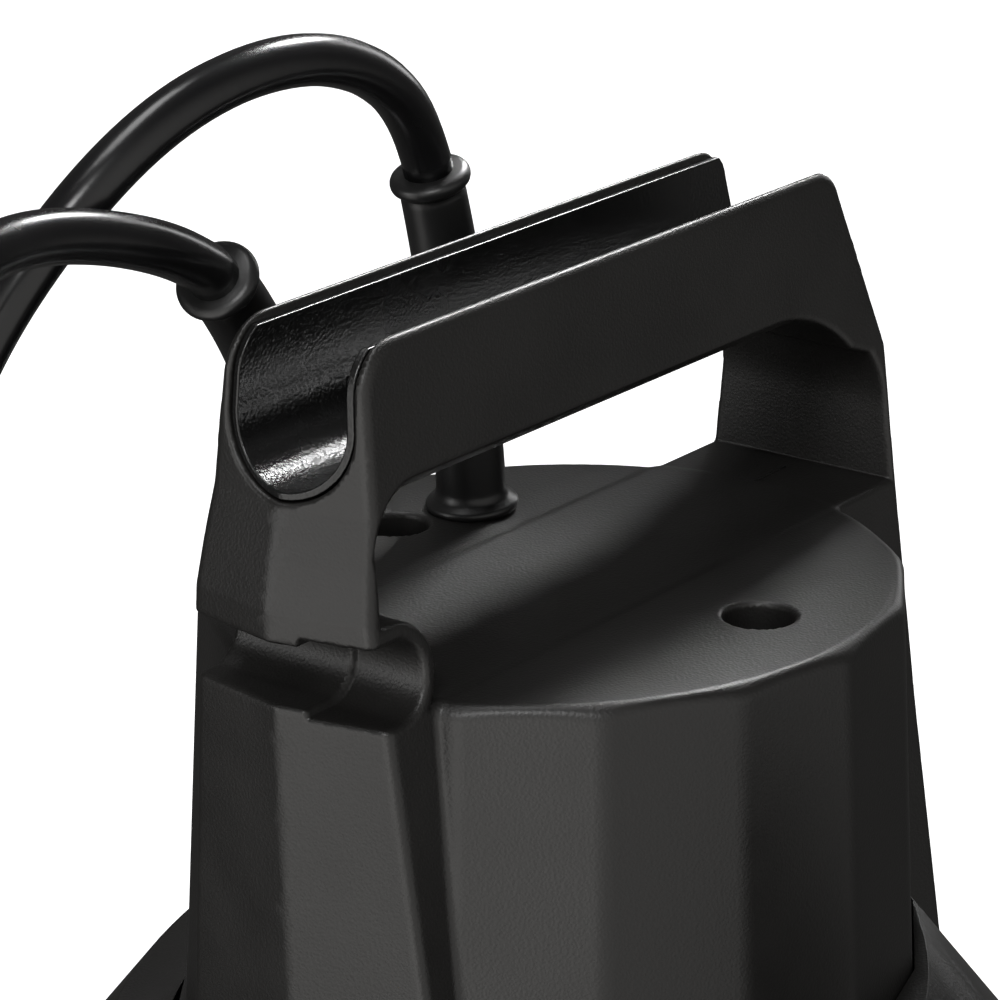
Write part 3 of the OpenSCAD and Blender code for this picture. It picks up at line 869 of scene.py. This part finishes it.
    def build(self) -> bpy.types.Object:
        """Meshes the field, moves each point onto the surface and takes the shading from its slope.

        Returns:
            The piece.
        """
        step = self.step
        low = np.array([-78.0, -66.0, 105.0])
        high = np.array([93.5, 66.0, 265.5])
        axes = [np.arange(low[k], high[k] + step, step) for k in range(3)]
        x, y, z = np.meshgrid(*axes, indexing="ij")
        grid = np.stack([x, y, z], axis=-1)
        values = np.concatenate([self.distance(part) for part in np.array_split(grid, 16)])
        points, faces = surface_net(values, low, step)
        for _ in range(3):
            slope = gradient(self.distance, points, 0.08)
            size = np.maximum((slope * slope).sum(1, keepdims=True), 0.2)
            move = self.distance(points)[:, None] * slope / size
            points = points - np.clip(move, -0.6 * step, 0.6 * step)
        piece = mesh_piece("housing_moulding", points, faces)
        thin = piece.modifiers.new("thin", "DECIMATE")
        thin.ratio = min(1.0, 90000.0 / len(faces))
        piece = settled(piece)
        self.shade(piece)
        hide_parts("upper_housing")
        HOUSING.dress(piece)
        return piece

    def shade(self, piece: bpy.types.Object) -> None:
        """Gives each point the slope of the field as its normal.

        Args:
            piece: the moulding.
        """
        count = len(piece.data.vertices)
        flat = np.empty(count * 3)
        piece.data.vertices.foreach_get("co", flat)
        slope = unit(gradient(self.distance, flat.reshape(-1, 3) / MM, 0.25))
        piece.data.normals_split_custom_set_from_vertices(slope.tolist())

    def seam(self) -> bpy.types.Object:
        """The thin parting line of the mould across the flat top."""
        line = np.array([[x, 0.0, self.crest_z] for x in np.linspace(-51.5, 70.0, 60)])
        return tube("parting_line", line, 0.2, 8)


def settled(piece: bpy.types.Object) -> bpy.types.Object:
    """Applies a piece's modifiers to its mesh.

    Args:
        piece: the piece.

    Returns:
        The same piece, with a plain mesh.
    """
    graph = bpy.context.evaluated_depsgraph_get()
    mesh = bpy.data.meshes.new_from_object(piece.evaluated_get(graph))
    piece.modifiers.clear()
    piece.data = mesh
    return piece


@dataclass
class Liner:
    """The smooth gutter liner that lies in the grip."""

    housing: Housing
    inset: float = 0.3
    wall: float = 1.3
    end_gap: float = 0.7

    def build(self) -> bpy.types.Object:
        """Makes the U-shaped sheet.

        Formula: a half circle with straight flanks is carried along the handle, and each of its points
        starts and ends where the slab's sheared outline stands at that height, less a small gap.

        Returns:
            The piece.
        """
        outer = self.housing.channel_r - self.inset
        angle = np.radians(np.linspace(180, 360, 41))
        rise = np.linspace(12.2, 1.0, 9)
        lines = []
        for radius in (outer, outer - self.wall):
            flank = radius - 0.055 * rise
            left = np.stack([-flank, self.housing.channel_v + rise], axis=1)
            low_v = self.housing.channel_v + radius * np.sin(angle)
            bowl = np.stack([radius * np.cos(angle), low_v], axis=1)
            lines.append(np.concatenate([left, bowl, left[::-1] * (-1, 1)]))
        section = np.concatenate([lines[0], lines[1][::-1]])
        share = np.linspace(0, 1, 60)[:, None]
        low, high = self.ends(section)
        x = low + share * (high - low)
        shape = (len(share), len(section))
        y = np.broadcast_to(section[:, 0], shape)
        z = np.broadcast_to(section[:, 1] + self.housing.crest_z, shape)
        points = np.stack([x, y, z], axis=-1).reshape(-1, 3)
        faces = grid_faces(*shape)
        half = len(section) // 2
        for row in (0, len(share) - 1):
            start = row * len(section)
            for k in range(half - 1):
                across = start + len(section) - 1 - k
                faces.append([start + k, start + k + 1, across - 1, across])
        piece = mesh_piece("gutter_liner", points, faces)
        recalculate(piece)
        bevel(piece, 0.35)
        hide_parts("channel_liner")
        LINER.dress(piece)
        return piece

    def ends(self, section: Array) -> tuple[Array, Array]:
        """Where the slab begins and ends at each section point's height and side distance.

        Args:
            section: points of the section, side distance against height.

        Returns:
            The lowest and the highest place along the handle.
        """
        outline = self.housing.slab_outline()
        peak = int(np.argmax(outline[:, 1]))
        left = outline[: peak + 1]
        right = outline[peak + 1 :][::-1]
        shear = self.housing.end_slope * np.abs(section[:, 0])
        low = np.interp(section[:, 1], left[:, 1], left[:, 0]) + shear + self.end_gap
        high = np.interp(section[:, 1], right[:, 1], right[:, 0]) - shear - self.end_gap
        return low, high


# ---------------------------------------------------------------- cable entries


@dataclass
class Boot:
    """A rubber bend protector: a foot in the roof, a leaning sleeve and a rolled rim at its mouth."""

    name: str
    node: str
    foot: tuple[float, float, float]
    heading: float
    bend_r: float
    lean: tuple[float, float]
    sleeve_r: float = 6.1
    flange_r: float = 8.1
    rim_r: float = 6.9
    rim: float = 2.9

    def spine(self) -> Array:
        """Centre line: from inside the roof up the sleeve's arc to its mouth."""
        angle = np.radians(np.linspace(*self.lean, 40))
        start = math.radians(self.lean[0])
        out = self.bend_r * (math.cos(start) - np.cos(angle))
        up = self.bend_r * (np.sin(angle) - math.sin(start))
        way = np.array([math.cos(math.radians(self.heading)), math.sin(math.radians(self.heading)), 0.0])
        arc = np.asarray(self.foot) + out[:, None] * way + up[:, None] * np.array([0.0, 0.0, 1.0])
        root = np.stack([np.asarray(self.foot) + (0, 0, z) for z in np.linspace(-11, -0.4, 8)])
        return evenly(np.concatenate([root, arc]), 0.45)

    def build(self) -> bpy.types.Object:
        """Makes the sleeve.

        Formula: a tube whose radius tapers up the sleeve, swells in a half circle at the foot flange and
        again at the rolled rim, with a rounded lip down to the cable.

        Returns:
            The piece.
        """
        line = self.spine()
        at = np.concatenate([[0.0], np.cumsum(np.linalg.norm(np.diff(line, axis=0), axis=1))])
        total = at[-1]
        radius = self.sleeve_r - 0.55 * np.clip((at - 12) / (total - 12), 0, 1)
        flange = (at - 12.2) / 1.2
        bulge = self.flange_r - 1.5 + 1.5 * np.sqrt(1 - np.clip(flange**2, 0, 1))
        radius = np.maximum(radius, np.where(np.abs(flange) < 1, bulge, 0))
        fillet = np.clip(1 - (at - 13.2) / 2.2, 0, 1) ** 2
        radius = radius + np.where(at > 13.2, 0.9 * fillet, 0)
        rolled = (at - (total - self.rim / 2)) / (self.rim / 2)
        swell = self.rim_r - 1.2 + 1.2 * np.sqrt(1 - np.clip(rolled**2, 0, 1))
        radius = np.where(np.abs(rolled) <= 1, swell, radius)
        neck = np.clip(1 - np.abs(at - (total - self.rim - 0.5)) / 0.9, 0, 1)
        radius = radius - 0.25 * neck
        piece = tube(self.name, line, radius, 48)
        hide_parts(self.node)
        BOOT.dress(piece)
        return piece


# ---------------------------------------------------------------- cords


POWER_ROUTE = [
    (7, 31.5, 267.8), (6, 31.5, 270.9), (2.5, 30.8, 277.5), (-5, 30, 285), (-14.5, 29.6, 290.2),
    (-24.6, 29.6, 293.2), (-35.2, 30, 294.2), (-46, 31, 293.2), (-56, 32.4, 290.4), (-65.6, 34, 285.6),
    (-74, 36, 279.3), (-81, 38.6, 271.7), (-87, 41.8, 263), (-94, 47, 246), (-100, 52, 224),
    (-105, 56, 198), (-108.5, 59, 170), (-110, 61, 140), (-109, 62.5, 110), (-107, 64, 82),
    (-105, 66.5, 58), (-103.5, 72, 34), (-103, 84, 15), (-103, 99, 6.5), (-105, 116, 4.4),
    (-112, 135, 4.3), (-125, 150, 4.3), (-144, 160, 4.3),
]
PLUG_LEAD = [
    (-148.2, 140.2, 21.3), (-160.5, 147.5, 26), (-174, 153.5, 29.9), (-189, 155.5, 30.4),
    (-204, 153.5, 29.8), (-217, 147, 26.2), (-228, 138, 19.5), (-235.5, 126.5, 14.6),
    (-239.7, 115.4, 12.9), (-240, 112.5, 12.9),
]
FLOAT_ROUTE = [
    (-54.6, 26.3, 264.5), (-56.8, 25.9, 266.5), (-64, 24.7, 270.6), (-73.4, 24.2, 274.6),
    (-83.4, 24.5, 277.8), (-93.8, 24.8, 280.2), (-104.4, 24.6, 281), (-116, 23, 279.3),
    (-127, 20.5, 274.5), (-137, 17, 266.5), (-145, 13.5, 256), (-151.5, 9.5, 243), (-157, 5, 227),
    (-161, 0, 207), (-164, -5, 184), (-166, -10, 158), (-167, -14, 132), (-167, -17, 107),
    (-166.5, -19, 84), (-166, -20.7, 62), (-166, -26, 42.5), (-166, -40.5, 27.7), (-166, -57.7, 22.3),
    (-166, -60.7, 22.3),
]


@dataclass
class Cords:
    """The power cord with its coil and the float switch's cord."""

    diameter: float = 8.5
    coil_x: float = -168.0
    coil_y: float = 106.0
    middle_r: float = 48.0
    start_angle: float = 66.0
    end_angle: float = 60.0
    sides: int = 20

    def layers(self) -> list[tuple[float, float]]:
        """Radius and height of the coil's nine places, in the order that the cord fills them."""
        rings = [self.middle_r + self.diameter * k for k in (1, 0, -1)]
        heights = [self.diameter * (k + 0.5) for k in range(3)]
        places = []
        for number, radius in enumerate(rings):
            order = heights if number % 2 == 0 else heights[::-1]
            places.extend((radius, height) for height in order)
        return places

    def coil(self) -> Array:
        """The coil's turns.

        Formula: the angle grows evenly, and in the first part of each turn after the first the radius and
        height pass to the next place along a smooth step.

        Returns:
            Points of the cord's centre line.
        """
        places = np.array(self.layers())
        full = 360.0 * (len(places) - 1) + (self.end_angle - self.start_angle)
        turned = np.linspace(0.0, full, 1000)
        angle = self.start_angle + turned
        number = (angle - 10.0) / 360.0
        whole = np.clip(np.floor(number), 0, len(places) - 1).astype(int)
        share = np.clip((number - whole) * 360.0 / 40.0, 0.0, 1.0)
        share = share * share * (3 - 2 * share)
        before = places[np.maximum(whole - 1, 0)]
        place = before + (places[whole] - before) * share[:, None]
        round_way = np.radians(angle)
        x = self.coil_x + place[:, 0] * np.cos(round_way)
        y = self.coil_y + place[:, 0] * np.sin(round_way)
        return np.stack([x, y, place[:, 1]], axis=1)

    def power(self, plug_pieces: Sequence[bpy.types.Object]) -> bpy.types.Object:
        """Makes the power cord: its free stretch, its coil and the lead to the plug."""
        coil = self.coil()
        free = np.array(POWER_ROUTE, float)[:-1]
        lead = np.array(PLUG_LEAD, float)[1:]
        line = np.concatenate([free, evenly(coil, 6.0), lead])
        nodes = ["power_cord", "power_cord_coil"]
        return self.cord("power_cable", line, nodes)

    def float_cord(self, float_pieces: Sequence[bpy.types.Object]) -> bpy.types.Object:
        """Makes the float switch's cord, which ends in the float's nose."""
        line = np.array(FLOAT_ROUTE, float)
        return self.cord("float_cable", line, ["float_cord"])

    def cord(
        self,
        name: str,
        route: Array,
        nodes: Sequence[str],
    ) -> bpy.types.Object:
        """Makes one cord.

        Args:
            name: the piece's name.
            route: its listed points.
            nodes: the CAD nodes that it replaces.

        Returns:
            The piece.
        """
        line = refine(route, 2.5)
        piece = tube(name, line, self.diameter / 2, self.sides)
        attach(piece, "root")
        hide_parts(*nodes)
        CABLE.dress(piece)
        return piece


# ---------------------------------------------------------------- the float and the plug


@dataclass
class FloatSwitch:
    """The flat capsule that floats, in two halves, with its tapered rubber nose."""

    pivot: tuple[float, float, float] = (-166.0, -66.0, 22.3)
    nose_length: float = 18.0
    half_x: float = 16.0
    near_y: float = -24.0
    far_y: float = -76.0
    round_r: float = 21.0
    lift: float = -1.0
    seam: float = 0.9

    def centre(self) -> Array:
        """Where the float's own frame has its origin."""
        return np.array(self.pivot) + (0.0, -self.nose_length, 0.0)

    def shell(self, name: str, node: str, up: bool) -> bpy.types.Object:
        """Makes one half of the capsule.

        Formula: rings from the seam to the pole: each is a rounded rectangle whose corner radius is the
        round radius times the cosine of the climb, and whose height is the round radius times its sine,
        and the first rings step in for the seam's rim.

        Args:
            name: the piece's name.
            node: the CAD node it stands for.
            up: whether it is the upper half.

        Returns:
            The piece.
        """
        climb = np.radians(np.concatenate([np.linspace(1.5, 86, 26), [90.0]]))
        radius = self.round_r * np.cos(climb)
        height = self.round_r * np.sin(climb)
        ridge = np.clip(1.0 - (height - 1.0) / 1.6, 0.0, 1.0)
        radius = radius + 0.5 * ridge * (height < 2.6)
        radius = np.concatenate([[self.round_r - 2.4], radius[:1], radius])
        height = np.concatenate([[0.12], [0.12], height])
        base, way = self.corner_ring(48)
        ring = base[None] + radius[:, None, None] * way[None]
        sign = 1.0 if up else -1.0
        z = np.broadcast_to((self.lift + sign * height)[:, None, None], (*ring.shape[:2], 1))
        points = np.concatenate([ring, z], axis=-1).reshape(-1, 3) + self.centre()
        faces = grid_faces(len(radius), ring.shape[1])
        last = (len(radius) - 1) * ring.shape[1]
        faces.append([last + k for k in range(ring.shape[1])])
        faces.append(list(range(ring.shape[1]))[::-1])
        piece = mesh_piece(name, points, faces)
        recalculate(piece)
        bevel(piece, 0.5, angle=50.0)
        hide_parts(node)
        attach(piece, "float")
        FLOAT.dress(piece)
        return piece

    def corner_ring(self, count: int) -> tuple[Array, Array]:
        """A rectangle's corners, each held for a quarter turn, with the directions of the turn.

        Args:
            count: points in a ring.

        Returns:
            The corner and the direction for each point.
        """
        angle = np.linspace(0, 2 * math.pi, count, endpoint=False) + math.pi / count
        way = np.stack([np.cos(angle), np.sin(angle)], axis=1)
        middle = 0.5 * (self.near_y + self.far_y)
        reach = 0.5 * (self.near_y - self.far_y)
        base = np.stack([np.sign(way[:, 0]) * self.half_x, middle + np.sign(way[:, 1]) * reach], axis=1)
        return base, way

    def nose(self) -> bpy.types.Object:
        """Makes the tapered nose.

        Formula: a tube whose radius falls from the shell to the cable along a half cosine, with four
        shallow rings for grip, closed by a half sphere about the pivot.

        Returns:
            The piece.
        """
        base = self.centre()
        share = np.linspace(0, 1, 60)
        radius = 5.0 + 5.4 * 0.5 * (1 + np.cos(math.pi * share))
        radius = radius + 0.35 * np.sin(share * 4 * 2 * math.pi) * (share < 0.8)
        line = base + np.stack([0 * share, -2 + share * (self.nose_length + 2), 0 * share], axis=1)
        turn = np.radians(np.linspace(6, 84, 10))
        cap = base + np.stack([0 * turn, self.nose_length + 5.0 * np.sin(turn), 0 * turn], axis=1)
        radii = np.concatenate([radius, 5 * np.cos(turn)])
        piece = tube("float_nose_rubber", np.concatenate([line, cap]), radii, 40)
        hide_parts("float_nose")
        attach(piece, "float")
        BOOT.dress(piece)
        return piece

    def build(self) -> list[bpy.types.Object]:
        """Makes the shells and the nose."""
        lower = self.shell("float_shell_lower", "float_lower_shell", False)
        upper = self.shell("float_shell_upper", "float_upper_shell", True)
        return [lower, upper, self.nose()]


@dataclass
class Plug:
    """The moulded plug at the power cord's end."""

    place: tuple[float, float, float] = (-240.0, 112.5, 12.9)
    turn: float = 264.0
    taper: tuple[float, float] = (6.2, 9.0)
    grip_r: float = 12.7
    grip_start: float = 24.0
    length: float = 44.0

    def build(self) -> list[bpy.types.Object]:
        """Makes the body and takes its metal pins from the CAD model.

        Formula: a tube whose radius widens along the strain relief with ring grooves, then swells to the
        grip, with finger ribs and rounded ends.

        Returns:
            The pieces.
        """
        way = np.array([math.cos(math.radians(self.turn)), math.sin(math.radians(self.turn)), 0.0])
        at = np.linspace(0.0, self.length, 177)
        relief = self.taper[0] + (self.taper[1] - self.taper[0]) * at / 26.0
        relief = relief - 0.7 * (np.mod(at, 4.0) > 2.9) * (at < 22.0)
        rise = np.clip((at - self.grip_start + 3.0) / 4.0, 0.0, 1.0)
        rise = rise * rise * (3 - 2 * rise)
        ribs = 0.5 * np.maximum(np.sin((at - self.grip_start) * 2 * math.pi / 5.0), 0)
        ribs = ribs * (at > 28) * (at < 41)
        face = np.sqrt(np.clip(1 - (np.clip(at - 42.0, 0, None) / 2.2) ** 2, 0, 1))
        radius = (relief * (1 - rise) + self.grip_r * rise - ribs) - 1.2 * (1 - face)
        radius = np.minimum(radius, 4.6 + 1.6 * np.sqrt(np.clip(at / 1.5, 0, 1)) + 100 * (at > 1.5))
        line = np.asarray(self.place) + at[:, None] * way
        body = tube("plug_moulding", line, radius, 48)
        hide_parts("plug_body")
        PLUG.dress(body)
        pins = [copy_of("plug_blades", "plug_blades_metal"), copy_of("plug_earth_pin", "plug_pin_metal")]
        for pin in pins:
            bevel(pin, 0.25)
        BRASS.dress(*pins)
        return [body, *pins]


# ---------------------------------------------------------------- casing, base and discharge


@dataclass
class Casing:
    """The sloping shoulder, the strainer base and the discharge, taken from the CAD with rounded edges."""

    def build(self) -> list[bpy.types.Object]:
        """Makes the rounded copies and dresses them."""
        parts = {
            "pump_casing": (HOUSING, 0.8),
            "strainer_base": (HOUSING, 0.5),
            "volute": (INNER, 0.6),
            "discharge_adapter": (INNER, 0.7),
        }
        made = []
        for node, (finish, width) in parts.items():
            piece = copy_of(node, f"{node}_moulding")
            bevel(piece, width)
            finish.dress(piece)
            made.append(piece)
        return made


@dataclass
class Insides:
    """Motor, seals and screws: CAD nodes that keep their shape and get their finish."""

    finishes: dict[str, Finish] = field(
        default_factory=lambda: {
            "top_screws": SCREW, "housing_screws": SCREW, "strainer_screws": SCREW, "volute_screws": SCREW,
            "power_gland_nut": BRASS, "float_gland_nut": BRASS, "impeller_nut": BRASS,
            "bearing_bracket": CAST, "capacitor_clip": CAST, "upper_bearing": BEARING,
            "lower_bearing": BEARING, "shaft": BEARING, "flap_pin": BEARING, "tilt_ball": BEARING,
            "switch_lever": BEARING, "stator_core": CORE, "rotor_core": CORE, "rotor_end_rings": CAST,
            "stator_windings": COPPER, "terminal_block": PALE, "ball_tube": PALE, "seal_seat": PALE,
            "run_capacitor": CAN, "seal_plate": INNER, "micro_switch": INNER, "impeller": INNER,
            "discharge_seat": INNER, "housing_seal": SEAL, "adapter_seal": SEAL, "seal_head": SEAL,
            "check_flap": SEAL, "rubber_feet": SEAL, "coil_tie": SEAL,
        }
    )

    def dress(self) -> None:
        """Puts each finish on its nodes."""
        for node, finish in self.finishes.items():
            finish.dress_node(node)


# ---------------------------------------------------------------- camera, floor and lights


@dataclass(frozen=True)
class Glow:
    """A soft patch of the surround: where it lies, the dot product at which it starts, and its strength."""

    towards: tuple[float, float, float]
    start: float
    strength: float


@dataclass
class Studio:
    """Camera, pale floor and soft lights."""

    azimuth: float = -53.5
    elevation: float = 19.06
    camera_at: tuple[float, float, float] = (-541.9, -389.5, 448.7)
    lens: float = 154.1
    base_light: float = 0.07
    glows: tuple[Glow, ...] = (Glow((-0.96, 0.02, -0.28), 0.6, 1.9), Glow((-0.35, -0.88, -0.32), 0.2, 0.75))

    def camera(self) -> None:
        """Makes the camera; its back axis follows from azimuth and elevation."""
        data = bpy.data.cameras.new("camera")
        data.lens = self.lens
        data.sensor_width = 36.0
        data.clip_start = 0.01
        data.clip_end = 20.0
        holder = bpy.data.objects.new("camera", data)
        bpy.context.scene.collection.objects.link(holder)
        turn = math.radians(self.azimuth)
        climb = math.radians(self.elevation)
        level = math.cos(climb)
        back = Vector((math.sin(turn) * level, -math.cos(turn) * level, math.sin(climb)))
        holder.rotation_euler = back.to_track_quat("Z", "Y").to_euler()
        holder.location = Vector(self.camera_at) * MM
        bpy.context.scene.camera = holder

    def floor(self) -> None:
        """Makes a large pale floor that glows white and sends no light up to the pump."""
        reach = 12000.0
        corners = [(-reach, -reach, 0), (reach, -reach, 0), (reach, reach, 0), (-reach, reach, 0)]
        piece = mesh_piece("floor", np.array(corners, float) - (0, 0, 0.4), [[0, 1, 2, 3]])
        made = bpy.data.materials.new("floor")
        made.use_nodes = True
        shader = made.node_tree.nodes["Principled BSDF"]
        shader.inputs["Base Color"].default_value = (0.92, 0.92, 0.92, 1.0)
        shader.inputs["Roughness"].default_value = 0.9
        shader.inputs["Emission Color"].default_value = (1.0, 1.0, 1.0, 1.0)
        shader.inputs["Emission Strength"].default_value = 0.9
        piece.data.materials.append(made)
        piece.visible_diffuse = False
        piece.visible_glossy = False
        piece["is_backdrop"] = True

    def softbox(
        self,
        name: str,
        place: tuple[float, float, float],
        size: tuple[float, float],
        power: float,
        target: tuple[float, float, float] = (0.0, 0.0, 0.22),
        spread: float = 180.0,
    ) -> None:
        """Makes an area light.

        Args:
            name: the light's name.
            place: where it stands, in metres from its target.
            size: its width and height in metres.
            power: its power in watts.
            target: the point that it faces.
            spread: angle of its beam in degrees.
        """
        data = bpy.data.lights.new(name, "AREA")
        data.shape = "RECTANGLE"
        data.size, data.size_y = size
        data.energy = power
        data.spread = math.radians(spread)
        holder = bpy.data.objects.new(name, data)
        bpy.context.scene.collection.objects.link(holder)
        holder.location = Vector(target) + Vector(place)
        holder.rotation_euler = Vector(place).to_track_quat("Z", "Y").to_euler()

    def lights(self) -> None:
        """Makes the softboxes and a surround that is brightest low on the left, as over a pale floor."""
        world = bpy.data.worlds.new("world")
        world.use_nodes = True
        tree = world.node_tree
        backdrop = tree.nodes["Background"]
        backdrop.inputs["Color"].default_value = (1.0, 0.985, 0.96, 1.0)
        place = tree.nodes.new("ShaderNodeTexCoord")
        total = None
        for glow in self.glows:
            along = tree.nodes.new("ShaderNodeVectorMath")
            along.operation = "DOT_PRODUCT"
            along.inputs[1].default_value = glow.towards
            tree.links.new(place.outputs["Generated"], along.inputs[0])
            patch = tree.nodes.new("ShaderNodeMapRange")
            patch.interpolation_type = "SMOOTHSTEP"
            patch.inputs["From Min"].default_value = glow.start
            patch.inputs["To Max"].default_value = glow.strength
            tree.links.new(along.outputs["Value"], patch.inputs["Value"])
            add = tree.nodes.new("ShaderNodeMath")
            add.inputs[1].default_value = self.base_light
            tree.links.new(patch.outputs["Result"], add.inputs[0])
            if total:
                tree.links.new(total.outputs["Value"], add.inputs[1])
            total = add
        tree.links.new(total.outputs["Value"], backdrop.inputs["Strength"])
        bpy.context.scene.world = world
        bpy.context.scene.view_settings.view_transform = "Standard"
        self.softbox("key", (-1.1, -0.55, 1.1), (0.5, 0.5), 11.0)
        self.softbox("overhead", (-0.1, 0.3, 1.6), (0.9, 0.5), 9.0)
        self.softbox("rim", (1.6, 0.1, 0.45), (0.35, 0.8), 3.0)
        self.softbox("side", (-1.5, 0.9, 0.3), (0.4, 0.9), 4.0)
        gutter_end = (-0.055, 0.0, 0.238)
        self.softbox("gutter", (0.3, 0.08, 0.24), (0.08, 0.12), 0.05, target=gutter_end, spread=24.0)


def report(*pieces: bpy.types.Object) -> None:
    """Logs each piece with its number of faces.

    Args:
        pieces: the pieces.
    """
    for piece in pieces:
        LOG.info("%s: %d faces", piece.name, len(piece.data.polygons))


def main() -> None:
    """Builds the pump around its frame: camera, cords with what is on them, housing and the rest."""
    logging.basicConfig(level=logging.INFO, format="%(name)s: %(message)s")
    FRAME.load()
    studio = Studio()
    studio.camera()
    plug = Plug().build()
    float_pieces = FloatSwitch().build()
    cords = Cords()
    nodes = FRAME.nodes
    power_boot = Boot("power_boot_sleeve", "power_boot", (19.0, 31.5, 205.0), 180.0, 270.0, (4.0, 17.6))
    float_boot = Boot("float_boot_sleeve", "float_boot", (-26.0, 31.5, 205.0), 190.3, 88.4, (4.0, 48.0))
    boots = [power_boot.build(), float_boot.build()]
    on_float = [nodes[name] for name in ("ball_tube", "tilt_ball", "micro_switch", "switch_lever")]
    power = cords.power([*plug, nodes["coil_tie"], boots[0]])
    float_cord = cords.float_cord([*float_pieces, *on_float, boots[1]])
    housing = Housing()
    moulding = housing.build()
    seam = housing.seam()
    LINER.dress(seam)
    liner = Liner(housing).build()
    casing = Casing().build()
    Insides().dress()
    for piece in (*plug, *boots, moulding, seam, liner, *casing):
        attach(piece, "root")
    report(*plug, *float_pieces, power, float_cord, *boots, moulding, seam, liner, *casing)
    studio.floor()
    studio.lights()


if __name__ == "__main__":
    main()
